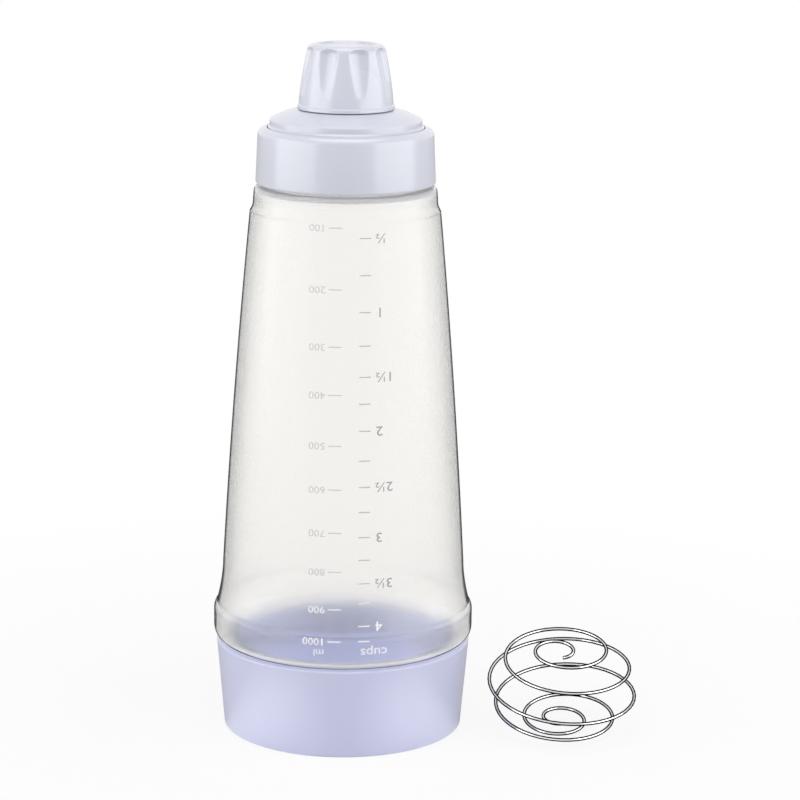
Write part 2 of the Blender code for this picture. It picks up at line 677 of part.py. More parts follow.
def least_wire_gap(points):
    """Least clear distance between stretches of wire that aren't neighbours along it."""
    along = [0.0]
    for first, second in zip(points, points[1:]):
        along.append(along[-1] + (second - first).length)
    least = math.inf
    for index, point in enumerate(points):
        for other in range(index + 1, len(points)):
            if along[other] - along[index] > NEIGHBOUR_DIAMETERS * WIRE_DIAMETER:
                least = min(least, (points[other] - point).length)
    return least - WIRE_DIAMETER


def make_whisk(material):
    count = round((WHISK_LAST_TURN - WHISK_FIRST_TURN) * WHISK_POINTS_PER_TURN)
    step = (WHISK_LAST_TURN - WHISK_FIRST_TURN) / count
    points = [whisk_point(WHISK_FIRST_TURN + step * index) for index in range(count + 1)]
    head = (points[0] - points[1]).normalized() * WIRE_DIAMETER
    tail = (points[-1] - points[-2]).normalized() * WIRE_DIAMETER
    points = [points[0] + head] + points + [points[-1] + tail]
    lean = Matrix.Rotation(math.radians(WHISK_LEAN), 4, "X")
    points = [lean @ point for point in points]
    lowest = min(point.z for point in points) - WIRE_DIAMETER / 2
    print("least gap of the whisk wire to itself: %.2f mm" % (least_wire_gap(points) / MM))
    curve = bpy.data.curves.new("whisk_ball", "CURVE")
    curve.dimensions = "3D"
    curve.bevel_depth = WIRE_DIAMETER / 2
    curve.bevel_resolution = 1
    curve.use_fill_caps = True
    spline = curve.splines.new("POLY")
    spline.points.add(len(points) - 1)
    for target, point in zip(spline.points, points):
        target.co = (point.x, point.y, point.z, 1.0)
    centre_x = bulge_radius + WHISK_GAP_TO_BULGE + WHISK_RADIUS
    add_object("whisk_ball", curve, material, (centre_x, -WHISK_FORWARD, -lowest))


def main():
    for item in list(bpy.data.objects):
        bpy.data.objects.remove(item)
    clear = make_material("clear_plastic", (0.93, 0.94, 0.95), 0.05, transmission=0.9, alpha=0.4)
    lavender = make_material("lavender_base", (0.52, 0.54, 0.74), 0.3)
    pale = make_material("lavender_lid", (0.61, 0.62, 0.71), 0.3)
    silicone = make_material("silicone", (0.85, 0.85, 0.88), 0.55)
    steel = make_material("steel_wire", (0.6, 0.6, 0.62), 0.2, metallic=1.0)

    make_base_cup(lavender)
    make_ring("base_seal", base_chamber + SEAT_GAP, base_bore - SLIDE_GAP, base_seal_bottom,
              BASE_SEAL_THICKNESS, silicone)
    make_bottle_shell(clear)
    make_ring("neck_seal", neck_bore, flange_radius - SEAT_GAP, neck_seal_bottom,
              NECK_SEAL_THICKNESS, silicone)
    make_spout_dome(pale)
    make_nozzle(silicone)
    make_collar(pale)
    make_liner(silicone)
    make_nozzle_cap(pale)
    make_whisk(steel)


main()
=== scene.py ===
import math

import bpy
from mathutils import Euler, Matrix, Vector


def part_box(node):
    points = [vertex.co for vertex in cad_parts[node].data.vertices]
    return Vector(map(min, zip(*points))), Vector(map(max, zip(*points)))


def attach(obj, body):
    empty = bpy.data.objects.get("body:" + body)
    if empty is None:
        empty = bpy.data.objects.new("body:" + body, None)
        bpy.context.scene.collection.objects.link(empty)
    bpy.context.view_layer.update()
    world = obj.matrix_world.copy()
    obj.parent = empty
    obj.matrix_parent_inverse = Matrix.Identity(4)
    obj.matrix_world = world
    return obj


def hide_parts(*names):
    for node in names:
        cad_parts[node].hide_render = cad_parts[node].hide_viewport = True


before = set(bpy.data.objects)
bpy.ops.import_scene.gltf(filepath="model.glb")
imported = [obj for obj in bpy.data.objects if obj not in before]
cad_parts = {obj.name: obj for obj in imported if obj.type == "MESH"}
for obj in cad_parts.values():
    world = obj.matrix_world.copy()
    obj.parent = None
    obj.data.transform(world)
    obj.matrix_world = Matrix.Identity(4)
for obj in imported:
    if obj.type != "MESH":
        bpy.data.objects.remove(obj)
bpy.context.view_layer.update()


# The studio is a white sweep that runs on to the edge of the picture, with a round opening under the base
# cup for the cup to sink into as it unscrews. Two soft boxes stand beside the bottle and one hangs over
# it. In reflections the paper is painted darker than it looks, as painted shade, and two patches of it glow
# brightly there only, as painted highlights on the base cup's sides. A long lens looks down a little.
def put(tree, kind, values=None, **settings):
    """Adds a node to a tree, sets its options and gives its inputs their values."""
    added = tree.nodes.new(kind)
    for name, value in settings.items():
        setattr(added, name, value)
    give(tree, added, values or {})
    return added


def give(tree, node, values):
    """Gives a node's inputs their values, by name or by number."""
    for label, value in values.items():
        feed(tree, node.inputs[label], value)


def feed(tree, socket, value):
    """Gives a socket a plain value, or the output of another node."""
    if isinstance(value, Number):
        value = value.socket
    if isinstance(value, bpy.types.NodeSocket):
        tree.links.new(value, socket)
    else:
        socket.default_value = value


class Number:
    """A number that a node gives. Sums on it are written as on plain numbers."""

    def __init__(self, tree, socket):
        self.tree = tree
        self.socket = socket

    def sum(self, operation, *others):
        """What one Math node makes of this number and others."""
        values = dict(enumerate((self, *others)))
        return Number(self.tree, put(self.tree, "ShaderNodeMath", values, operation=operation).outputs[0])

    def __add__(self, other):
        return self.sum("ADD", other)

    def __sub__(self, other):
        return self.sum("SUBTRACT", other)

    def __rsub__(self, other):
        return self.sum("MULTIPLY_ADD", -1.0, other)

    def __mul__(self, other):
        return self.sum("MULTIPLY", other)

    def __truediv__(self, other):
        return self.sum("DIVIDE", other)

    def __lt__(self, other):
        return self.sum("LESS_THAN", other)

    def __gt__(self, other):
        return self.sum("GREATER_THAN", other)

    def __abs__(self):
        return self.sum("ABSOLUTE")

    def at_least(self, other):
        return self.sum("MAXIMUM", other)

    def at_most(self, other):
        return self.sum("MINIMUM", other)

    def in_range(self):
        """Held between 0 and 1."""
        return self.at_least(0.0).at_most(1.0)


def parts_of(tree, vector):
    """The three numbers of a vector."""
    parts = put(tree, "ShaderNodeSeparateXYZ", {0: vector})
    return [Number(tree, part) for part in parts.outputs]


def length_of(x, y):
    """The length of a level line with these two sides."""
    return (x * x + y * y).sum("SQRT")


def mixed_shaders(tree, share, first, second):
    """A shader that turns from a first one into a second as share goes from 0 to 1."""
    return put(tree, "ShaderNodeMixShader", {0: share, 1: first, 2: second}).outputs[0]


def start_material(name):
    """A new material, its tree, its shader and the place on the piece that patterns follow."""
    material = bpy.data.materials.new(name)
    material.use_nodes = True
    tree = material.node_tree
    return material, tree, tree.nodes["Principled BSDF"], put(tree, "ShaderNodeTexCoord").outputs["Object"]


def in_scene(name, data):
    """A new object in the scene, for a mesh, a lamp, a camera or a text."""
    added = bpy.data.objects.new(name, data)
    bpy.context.scene.collection.objects.link(added)
    return added


def piece_of(name, points, faces):
    """A new piece in the scene, from points and faces."""
    mesh = bpy.data.meshes.new(name)
    mesh.from_pydata(points, [], faces)
    return in_scene(name, mesh)


def turned_piece(name, profile, sides=192, closed=False):
    """Spins a profile of (radius, height) points round the axis. It runs up the outside first."""
    points, rings = [], []
    for radius, height in profile:
        if radius == 0.0:
            rings.append([len(points)])
            points.append((0.0, 0.0, height))
            continue
        rings.append(list(range(len(points), len(points) + sides)))
        for side in range(sides):
            angle = 2 * math.pi * side / sides
            points.append((radius * math.cos(angle), radius * math.sin(angle), height))
    if closed:
        rings.append(rings[0])
    faces = []
    for ring, above in zip(rings, rings[1:]):
        for side in range(sides):
            after = (side + 1) % sides
            if len(ring) == 1:
                faces.append((ring[0], above[after], above[side]))
            elif len(above) == 1:
                faces.append((ring[side], ring[after], above[0]))
            else:
                faces.append((ring[side], ring[after], above[after], above[side]))
    piece = piece_of(name, points, faces)
    piece.data.shade_smooth()
    piece.data.set_sharp_from_angle(angle=math.radians(40))
    return piece


def seen_directly(tree):
    """1 for rays from the lens and for those that a reflection or clear plastic passes on."""
    path = put(tree, "ShaderNodeLightPath").outputs
    passed_on = Number(tree, path["Is Glossy Ray"]).at_least(path["Is Transmission Ray"])
    return passed_on.at_least(path["Is Camera Ray"])


def add_soft_box(name, place, aim, width, height, power):
    lamp = bpy.data.lights.new(name, "AREA")
    lamp.shape = "RECTANGLE"
    lamp.size = width
    lamp.size_y = height
    lamp.energy = power
    holder = in_scene(name, lamp)
    holder.location = place
    holder.rotation_euler = (Vector(aim) - Vector(place)).to_track_quat("-Z", "Y").to_euler()


camera = in_scene("camera", bpy.data.cameras.new("camera"))
camera.location = (0.0220, -1.1571, 0.3913)
camera.rotation_euler = Euler((math.radians(90 - 12.61), 0.0, 0.0))
camera.rotation_euler.rotate_axis("Z", math.radians(0.59))
camera.data.lens = 135
bpy.context.scene.camera = camera
bpy.context.scene.view_settings.view_transform = "Standard"

ROOM_LIGHT = 0.25
world = bpy.data.worlds.new("studio")
world.use_nodes = True
tree = world.node_tree
strength = seen_directly(tree) * (1.0 - ROOM_LIGHT) + ROOM_LIGHT
give(tree, tree.nodes["Background"], {"Strength": strength, "Color": (1.0, 1.0, 1.0, 1.0)})
bpy.context.scene.world = world

add_soft_box("soft_box_left", (-1.0, -0.4, 0.3), (0.0, 0.0, 0.12), 1.3, 0.95, 8.6)
add_soft_box("soft_box_right", (1.0, -0.4, 0.3), (0.0, 0.0, 0.12), 1.3, 0.95, 8.6)
add_soft_box("soft_box_top", (0.0, -0.15, 1.2), (0.0, 0.0, 0.1), 0.9, 0.9, 6.0)

SWEEP_REACH = 6.0
SWEEP_OPENING = 0.0455
SWEEP_SIDES = 96
SWEEP_GLOW = 0.86
SHADOW_START = 0.1
SHADOW_REACH = 0.25
# Painted shade and highlights: in reflections only, the paper glows at this share instead of white, and two
# patches glow brighter to paint highlights on the base cup's sides.
PAPER_SHADE_IN_REFLECTIONS = 0.45
PATCH_ASIDE = 0.063
PATCH_AHEAD = 0.059
PATCH_REACH = 0.058
PATCH_BLUR = 0.04
PAINTED_HIGHLIGHT_SHINE = 1.55
paper, tree, _, place = start_material("white_paper")
x, y, _ = parts_of(tree, place)
far = ((length_of(x, y) - SHADOW_START) / SHADOW_REACH).in_range()
off_patch = length_of(abs(x) - PATCH_ASIDE, y + PATCH_AHEAD)
on_painted_highlight = ((PATCH_REACH - off_patch) / PATCH_BLUR).in_range()
path = put(tree, "ShaderNodeLightPath").outputs
mirrored = Number(tree, path["Is Glossy Ray"]) * path["Is Reflection Ray"]
surface = put(tree, "ShaderNodeBsdfDiffuse", {"Color": (0.9, 0.9, 0.9, 1.0)})
painted_reflection_glow = mirrored * (on_painted_highlight * PAINTED_HIGHLIGHT_SHINE + (PAPER_SHADE_IN_REFLECTIONS - 1.0)) + 1.0
glow = put(tree, "ShaderNodeEmission", {"Strength": painted_reflection_glow})
glow_share = seen_directly(tree) * (far * (1.0 - SWEEP_GLOW) + SWEEP_GLOW)
paper_shader = mixed_shaders(tree, glow_share.at_least(mirrored), surface.outputs[0], glow.outputs[0])
feed(tree, tree.nodes["Material Output"].inputs["Surface"], paper_shader)
sweep = turned_piece("sweep", [(SWEEP_REACH, 0.0), (SWEEP_OPENING, 0.0)], SWEEP_SIDES)
sweep.data.materials.append(paper)


# The base cup is the lavender screw lid that the bottle stands on. It is injection-moulded, satin
# outside, with a ledge for its seal and an inner thread for the bottle's skirt.
MM = 0.001
BASE_HEIGHT = 35.7 * MM
BASE_RIM_RADIUS = 50.6 * MM
BASE_FOOT_RADIUS = 47.5 * MM
BASE_BORE = 47.1 * MM
BASE_CHAMBER = 43.5 * MM
BASE_LEDGE = 17.3 * MM
BASE_FLOOR = 2.6 * MM
SKIRT_BOTTOM = 20.6 * MM
WIDE_THREAD_DEPTH = 1.25 * MM
THREAD_CREST = 1.2 * MM
THREAD_FLANK_SLOPE = 0.56
THREAD_GAP = 0.35 * MM
THREAD_STEP = 9.0
WIDE_SCREW = {"crest": THREAD_CREST, "lead": 10.0 * MM, "starts": 2}
RIDGE_RUN_OUT = 0.05
RIDGE_END_SHARE = 0.4
BASE_THREAD_HEIGHT = SKIRT_BOTTOM + 2.0 * MM
BASE_THREAD_STEPS = 32
BASE_MATE_STEPS = 25
ROW_STEP = 0.3 * MM
WALL_TOLERANCE = 0.02 * MM
TONE_MARGIN = 0.2 * MM
ARC_STEP = 10.0


def photographed(red, green, blue):
    """A colour as the eye reads it on a screen, from 0 to 255, turned into light."""
    shares = [channel / 255.0 for channel in (red, green, blue)]
    return (*[((s + 0.055) / 1.055) ** 2.4 if s > 0.04045 else s / 12.92 for s in shares], 1.0)


def rounded_line(corners):
    """Points along a profile of (radius, height, rounding) corners, with an arc in each rounded one."""
    points = []
    for index, (radius, height, rounding) in enumerate(corners):
        if rounding == 0.0:
            points.append((radius, height))
            continue
        last_radius, last_height = corners[index - 1][:2]
        next_radius, next_height = corners[(index + 1) % len(corners)][:2]
        heading_in = math.atan2(height - last_height, radius - last_radius)
        heading_out = math.atan2(next_height - height, next_radius - radius)
        turn = (heading_out - heading_in + math.pi) % (2 * math.pi) - math.pi
        side = math.copysign(1.0, turn)
        reach = rounding * math.tan(abs(turn) / 2)
        middle_radius = radius - reach * math.cos(heading_in) - side * rounding * math.sin(heading_in)
        middle_height = height - reach * math.sin(heading_in) + side * rounding * math.cos(heading_in)
        steps = max(2, math.ceil(math.degrees(abs(turn)) / ARC_STEP))
        for step in range(steps + 1):
            spoke = heading_in - side * math.pi / 2 + turn * step / steps
            arc_radius = middle_radius + rounding * math.cos(spoke)
            points.append((arc_radius, middle_height + rounding * math.sin(spoke)))
    return points


def with_rows(points, low, high):
    """Adds close rows to the upright stretches between two heights, for a thread to be raised on."""
    closer = [points[0]]
    for (radius, height), (next_radius, next_height) in zip(points, points[1:]):
        upright = abs(next_radius - radius) < 0.01 * MM
        if upright and min(height, next_height) >= low and max(height, next_height) <= high:
            rows = math.ceil(abs(next_height - height) / ROW_STEP)
            for row in range(1, rows):
                closer.append((radius, height + (next_height - height) * row / rows))
        closer.append((next_radius, next_height))
    return closer


def start_shaper(name, *labels):
    """A Geometry Nodes tree that takes a shape, a material and named numbers."""
    tree = bpy.data.node_groups.new(name, "GeometryNodeTree")
    tree.interface.new_socket("shape", in_out="INPUT", socket_type="NodeSocketGeometry")
    tree.interface.new_socket("finish", in_out="INPUT", socket_type="NodeSocketMaterial")
    for label in labels:
        tree.interface.new_socket(label, in_out="INPUT", socket_type="NodeSocketFloat")
    tree.interface.new_socket("shape", in_out="OUTPUT", socket_type="NodeSocketGeometry")
    given = put(tree, "NodeGroupInput").outputs
    return tree, {socket.name: Number(tree, socket) for socket in given if socket.name}


def end_shaper(tree, shape, finish):
    """Ends a tree with real geometry in its material."""
    real = put(tree, "GeometryNodeRealizeInstances", {0: shape})
    coated = put(tree, "GeometryNodeSetMaterial", {"Geometry": real.outputs[0], "Material": finish})
    put(tree, "NodeGroupOutput", {0: coated.outputs[0]})


def worked_out(piece):
    """A plain mesh of what a modifier or a text makes."""
    depsgraph = bpy.context.evaluated_depsgraph_get()
    return bpy.data.meshes.new_from_object(piece.evaluated_get(depsgraph), depsgraph=depsgraph)


def shape_piece(piece, tree, **values):
    """Runs a tree on a piece and keeps the result as its plain mesh."""
    modifier = piece.modifiers.new(tree.name, "NODES")
    modifier.node_group = tree
    for item in tree.interface.items_tree:
        if item.in_out == "INPUT" and item.name in values:
            modifier[item.identifier] = values[item.name]
    shaped = worked_out(piece)
    piece.modifiers.remove(modifier)
    piece.data = shaped
    piece.data.name = piece.name


def radius_and_turn(tree):
    """Position of a point, its distance from the axis, its turn round it (1 is a full one) and height."""
    place = put(tree, "GeometryNodeInputPosition").outputs[0]
    x, y, z = parts_of(tree, place)
    return place, length_of(x, y), y.sum("ARCTAN2", x) / (2 * math.pi), z


def vector_of(tree, *parts):
    """A vector of three numbers."""
    return put(tree, "ShaderNodeCombineXYZ", dict(enumerate(parts))).outputs[0]


def move_to_radius(tree, shape, place, radius, new_radius):
    """Moves each point straight out or in to a new distance from the axis."""
    x, y, z = parts_of(tree, place)
    share = new_radius / radius.at_least(0.01 * MM)
    new_place = vector_of(tree, x * share, y * share, z)
    return put(tree, "GeometryNodeSetPosition", {"Geometry": shape, "Position": new_place}).outputs[0]


def screw_ridges():
    """Raises helical ridges on one round wall.

    side is 1 for an outer wall and -1 for a bore, and turns count from angle 0.
    """
    labels = ("wall_radius", "side", "depth", "crest", "slope", "height", "lead", "starts")
    tree, given = start_shaper("screw_ridges", *labels, "from_turn", "to_turn")
    place, radius, turn, z = radius_and_turn(tree)
    pitch = given["lead"] / given["starts"]
    above = z - given["height"] - given["lead"] * turn
    off_middle = above - (above / pitch).sum("ROUND") * pitch
    wound = (z - off_middle - given["height"]) / given["lead"]
    flank = given["slope"] * given["depth"]
    rise = ((given["crest"] * 0.5 + flank - abs(off_middle)) / flank).in_range()
    to_nearer_end = (wound - given["from_turn"]).at_most(given["to_turn"] - wound)
    fade = (to_nearer_end / RIDGE_RUN_OUT + RIDGE_END_SHARE).in_range()
    on_wall = abs(radius - given["wall_radius"]) < WALL_TOLERANCE
    lift = rise * fade * given["depth"] * on_wall * given["side"]
    shape = move_to_radius(tree, given["shape"], place, radius, radius + lift)
    end_shaper(tree, shape, given["finish"])
    return tree


def raise_thread(piece, finish, first, last, screw, **values):
    """Raises a thread on a wall, from one step of THREAD_STEP degrees to another."""
    turns = {"from_turn": (first + 0.5) * THREAD_STEP / 360, "to_turn": (last + 0.5) * THREAD_STEP / 360}
    shape_piece(piece, ridges, finish=finish, slope=THREAD_FLANK_SLOPE, **screw, **turns, **values)


def clouds(tree, place, scale, detail):
    """Soft uneven spots, from 0 to 1."""
    noise = put(tree, "ShaderNodeTexNoise", {"Vector": place, "Scale": scale, "Detail": detail})
    return Number(tree, noise.outputs["Fac"])


def relief(tree, height, strength, distance):
    """A surface that follows a height in small."""
    values = {"Strength": strength, "Distance": distance, "Height": height}
    return put(tree, "ShaderNodeBump", values).outputs[0]


def mixed_tones(tree, share, first, second):
    """A colour that turns from a first one into a second as share goes from 0 to 1."""
    return put(tree, "ShaderNodeMix", {"Factor": share, 6: first, 7: second}, data_type="RGBA").outputs[2]


def moulded_plastic(name, pale, deep, gloss, cloud_scale=16.0):
    """Opaque moulded plastic: faint clouds of tone, uneven satin gloss and a fine moulded grain."""
    material, tree, shader, place = start_material(name)
    give(tree, shader, {
        "Base Color": mixed_tones(tree, clouds(tree, place, cloud_scale, 3.0), pale, deep),
        "Roughness": clouds(tree, place, 24.0, 1.0) * 0.08 + (gloss - 0.04),
        "Normal": relief(tree, clouds(tree, place, 1400.0, 2.0), 0.06, 0.05 * MM),
        "IOR": 1.48,
        "Coat Weight": 0.7,
        "Coat Roughness": 0.2,
    })
    return material


def mating_offset(depth, crest=THREAD_CREST):
    """Height between the middles of two mating ridges, whose flanks stay THREAD_GAP apart."""
    return crest + THREAD_FLANK_SLOPE * (depth - THREAD_GAP) + THREAD_GAP


def paint_light_within(material, radius, low, high, inside):
    """Paints light on the inner faces within a radius and between two heights: they get a tone of their own
    that stands in for light in the shade there.
    """
    tree = material.node_tree
    shader = tree.nodes["Principled BSDF"]
    outside = shader.inputs["Base Color"].links[0].from_socket
    x, y, z = parts_of(tree, put(tree, "ShaderNodeTexCoord").outputs["Object"])
    chosen = (length_of(x, y) < radius) * (z > low) * (z < high)
    feed(tree, shader.inputs["Base Color"], mixed_tones(tree, chosen, outside, inside))


lavender = moulded_plastic("lavender_base", photographed(206, 208, 235), photographed(201, 203, 231), 0.3)
# Painted light: the base cup's inside gets a tone of its own, set to lighten the shade within it.
paint_light_within(lavender, BASE_BORE + TONE_MARGIN, BASE_FLOOR / 2, BASE_HEIGHT, photographed(204, 209, 237))
ridges = screw_ridges()
base_profile = rounded_line([
    (0.0, 0.0, 0.0),
    (BASE_FOOT_RADIUS, 0.0, 1.0 * MM),
    (BASE_RIM_RADIUS, BASE_HEIGHT, 0.6 * MM),
    (BASE_BORE, BASE_HEIGHT, 0.3 * MM),
    (BASE_BORE, BASE_LEDGE, 0.2 * MM),
    (BASE_CHAMBER, BASE_LEDGE, 0.5 * MM),
    (BASE_CHAMBER, BASE_FLOOR, 4.0 * MM),
    (0.0, BASE_FLOOR, 0.0),
])
base_cup = turned_piece("base_cup_shell", with_rows(base_profile, BASE_LEDGE + 0.3 * MM, BASE_HEIGHT))
mate_height = BASE_THREAD_HEIGHT + mating_offset(WIDE_THREAD_DEPTH)
thread = {"wall_radius": BASE_BORE, "side": -1.0, "depth": WIDE_THREAD_DEPTH, "height": mate_height}
raise_thread(base_cup, lavender, 0, BASE_MATE_STEPS, WIDE_SCREW, **thread)
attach(base_cup, "base_cup")
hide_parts("base_cup")


# The base seal is a flat ring of milky silicone that lies on the base cup's ledge and takes on its tone.
# The skirt of the bottle presses on it when the base is screwed home.
BASE_SEAL_BOTTOM = 17.6 * MM
BASE_SEAL_TOP = 20.3 * MM
BASE_SEAL_INNER = 43.8 * MM
BASE_SEAL_OUTER = 46.65 * MM


def soft_silicone(name, pale, deep):
    """Milky silicone: light passes a little way in, and a soft sheen lies over a fine matt grain."""
    material = moulded_plastic(name, pale, deep, 0.5, 40.0)
    tree = material.node_tree
    give(tree, tree.nodes["Principled BSDF"], {
        "Subsurface Weight": 0.3,
        "Subsurface Radius": (1.0, 0.95, 0.9),
        "Subsurface Scale": 1.0 * MM,
    })
    return material


seal_silicone = soft_silicone("lavender_silicone", photographed(206, 209, 236), photographed(198, 202, 231))
seal_profile = rounded_line([
    (BASE_SEAL_OUTER, BASE_SEAL_BOTTOM, 0.5 * MM),
    (BASE_SEAL_OUTER, BASE_SEAL_TOP, 0.5 * MM),
    (BASE_SEAL_INNER, BASE_SEAL_TOP, 0.5 * MM),
    (BASE_SEAL_INNER, BASE_SEAL_BOTTOM, 0.5 * MM),
])
base_seal = turned_piece("base_seal_ring", seal_profile, closed=True)
base_seal.data.materials.append(seal_silicone)
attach(base_seal, "base_seal")
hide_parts("base_seal")


# The bottle itself is one blow-moulded shell of clear, slightly hazy plastic, open at both ends. It has a
# threaded skirt, a bulge over the base's rim, a tapering barrel, a stepped shoulder and a threaded neck.
SEAM_HEIGHT = 36.0 * MM
SHELL_WALL = 2.0 * MM
SKIRT_RADIUS = 45.5 * MM
BULGE_RADIUS = 51.65 * MM
BULGE_TOP = 47.6 * MM
BULGE_TOP_RADIUS = 4.35 * MM
BULGE_TOP_ANGLE = 44.0
BARREL_BOTTOM = 67.0 * MM
BARREL_BOTTOM_RADIUS = 48.0 * MM
BARREL_TOP = 208.0 * MM
BARREL_TOP_RADIUS = 37.3 * MM
BARREL_SWELL = 0.72 * MM
FLARE_SHARPNESS = 1.7
FLARE_MIDDLE = 53.0 * MM
FLARE_HALF = 13.0 * MM
SHOULDER_STEP = 1.3 * MM
SHOULDER_STEP_HEIGHT = 5.0 * MM
SHOULDER_STEP_SHARPNESS = 2.6
SHOULDER_TOP = 217.8 * MM
SHOULDER_EDGE = 35.6 * MM
NECK_RADIUS = 30.85 * MM
NECK_TOP = 236.0 * MM
NECK_THREAD_DEPTH = 1.2 * MM
NECK_THREAD_HEIGHT = SHOULDER_TOP + 3.6 * MM
NECK_THREAD_STEPS = 34
NECK_MATE_FIRST = 7
# Painted light: shares of pale white painted over the clear plastic round the neck and under the bulge.
NECK_PAINTED_LIGHT = 0.45
BULGE_PAINTED_PALENESS = 0.55
BULGE_PAINTED_REACH = 6.0 * MM
BULGE_EDGE_REACH = 2.0 * MM
SHOULDER_INSET = 1.6 * MM
UPRIGHT_START = 0.5
UPRIGHT_BLEND = 0.3
# Painted shade: the dark outline is drawn heavier in the flare and at the seam, where it stands in for the
# seam's shadow.
FLARE_PAINTED_EDGE = 0.06
SEAM_PAINTED_SHADE = 0.12


def barrel_radius(height):
    """The barrel tapers upwards and swells a little at half its length."""
    share = (height - BARREL_BOTTOM) / (BARREL_TOP - BARREL_BOTTOM)
    straight = BARREL_BOTTOM_RADIUS + (BARREL_TOP_RADIUS - BARREL_BOTTOM_RADIUS) * share
    return straight + 4 * BARREL_SWELL * share * (1 - share)


def bulge_to_shoulder(inset):
    """One face of the wall, from the widest ring up to the neck's foot, inset from the outside."""
    line = []
    edge_radius = BULGE_TOP_RADIUS - inset
    for step in range(9):
        angle = math.radians(BULGE_TOP_ANGLE * step / 8)
        radius = BULGE_RADIUS - BULGE_TOP_RADIUS + edge_radius * math.cos(angle)
        line.append((radius, BULGE_TOP + edge_radius * math.sin(angle)))
    edge_r, edge_z = line[-1]
    foot = BARREL_BOTTOM_RADIUS - inset
    for step in range(1, 14):
        share = step / 14
        reach = (edge_r - foot) * (1 - share) ** FLARE_SHARPNESS
        line.append((foot + reach, edge_z + (BARREL_BOTTOM - edge_z) * share))
    for step in range(37):
        height = BARREL_BOTTOM + (BARREL_TOP - BARREL_BOTTOM) * step / 36
        line.append((barrel_radius(height) - inset, height))
    for step in range(1, 9):
        share = step / 8
        drawn_in = SHOULDER_STEP * (1 - (1 - share) ** SHOULDER_STEP_SHARPNESS)
        line.append((BARREL_TOP_RADIUS - inset - drawn_in, BARREL_TOP + SHOULDER_STEP_HEIGHT * share))
    return line


def tones_by_angle(tree, stops, weight=1.0, tint=(1.0, 1.0, 1.0)):
    """Tones from square on (0) to edge on (1), read from the Layer Weight's facing."""
    facing = Number(tree, put(tree, "ShaderNodeLayerWeight").outputs["Facing"])
    ramp = put(tree, "ShaderNodeValToRGB", {0: facing * weight})
    for index, (place, tone) in enumerate(stops):
        if index < 2:
            stop = ramp.color_ramp.elements[index]
            stop.position = place
        else:
            stop = ramp.color_ramp.elements.new(place)
        stop.color = (tone * tint[0], tone * tint[1], tone * tint[2], 1.0)
    return Number(tree, ramp.outputs["Color"])


def clear_plastic(name):
    """Clear plastic with a little haze. It greys what is seen through a long way of it. Near its edges its
    colour is painted by viewing angle: a painted bright line, then painted shade, and a black painted rim
    where outer faces are seen edge on.
    """
    material, tree, shader, place = start_material(name)
    # Painted highlight and shade: the colour brightens to a line and then darkens towards the edges, by
    # viewing angle.
    painted_edge_tones = ((0.0, 0.96), (1.0, 0.5), (0.5, 0.98), (0.85, 1.0), (0.93, 0.85))
    from_within = Number(tree, put(tree, "ShaderNodeNewGeometry").outputs["Backfacing"])
    trapped = tones_by_angle(tree, ((0.0, 0.15), (1.0, 1.0), (0.24, 0.15), (0.34, 1.0)))
    mirrored = tones_by_angle(tree, ((0.0, 0.15), (1.0, 1.0), (0.4, 0.15), (0.62, 1.0)))
    give(tree, shader, {
        "Base Color": tones_by_angle(tree, painted_edge_tones, tint=(0.995, 0.99, 0.975)),
        "Transmission Weight": 1.0,
        "IOR": 1.38,
        "Specular Tint": from_within * (trapped - mirrored) + mirrored,
        "Roughness": clouds(tree, place, 22.0, 3.0) * 0.05 + 0.18,
        "Normal": relief(tree, clouds(tree, place, 35.0, 1.0), 0.25, 0.15 * MM),
    })
    # Painted light: a pale white surface is mixed into the clear plastic round the neck and under the bulge,
    # lightening the shade seen there.
    painted_pale_white = put(tree, "ShaderNodeBsdfDiffuse", {"Color": photographed(236, 236, 238)})
    painted_pale_share = put(tree, "ShaderNodeAttribute", attribute_name="painted_pale_share").outputs["Fac"]
    with_painted_pale = mixed_shaders(tree, painted_pale_share, shader.outputs[0], painted_pale_white.outputs[0])
    # Painted shade: a black surface is mixed in where outer faces are seen edge on, drawing a dark outline.
    painted_edge_shade = put(tree, "ShaderNodeBsdfDiffuse", {"Color": (0.02, 0.02, 0.022, 1.0)})
    outer = put(tree, "ShaderNodeAttribute", attribute_name="painted_edge_weight").outputs["Fac"]
    painted_edge_share = tones_by_angle(tree, ((0.0, 0.0), (1.0, 0.95), (0.8, 0.0), (0.87, 0.85)), outer)
    with_painted_edge = mixed_shaders(tree, painted_edge_share * (1.0 - from_within), with_painted_pale, painted_edge_shade.outputs[0])
    passes = put(tree, "ShaderNodeBsdfTransparent", {"Color": (0.95, 0.95, 0.95, 1.0)})
    to_lamp = put(tree, "ShaderNodeLightPath").outputs["Is Shadow Ray"]
    depth = put(tree, "ShaderNodeVolumeAbsorption", {"Color": (0.5, 0.5, 0.5, 1.0), "Density": 3.0})
    give(tree, tree.nodes["Material Output"], {
        "Surface": mixed_shaders(tree, to_lamp, with_painted_edge, passes.outputs[0]),
        "Volume": depth.outputs[0],
    })
    return material


def soften_bulge_edge(mesh):
    """Shades the edge over the bulge as the soft bend that it is."""
    edge_height = BULGE_TOP + BULGE_TOP_RADIUS * math.sin(math.radians(BULGE_TOP_ANGLE))
    for edge in mesh.edges:
        heights = [mesh.vertices[corner].co.z for corner in edge.vertices]
        if all(abs(height - edge_height) < BULGE_EDGE_REACH for height in heights):
            edge.use_edge_sharp = False


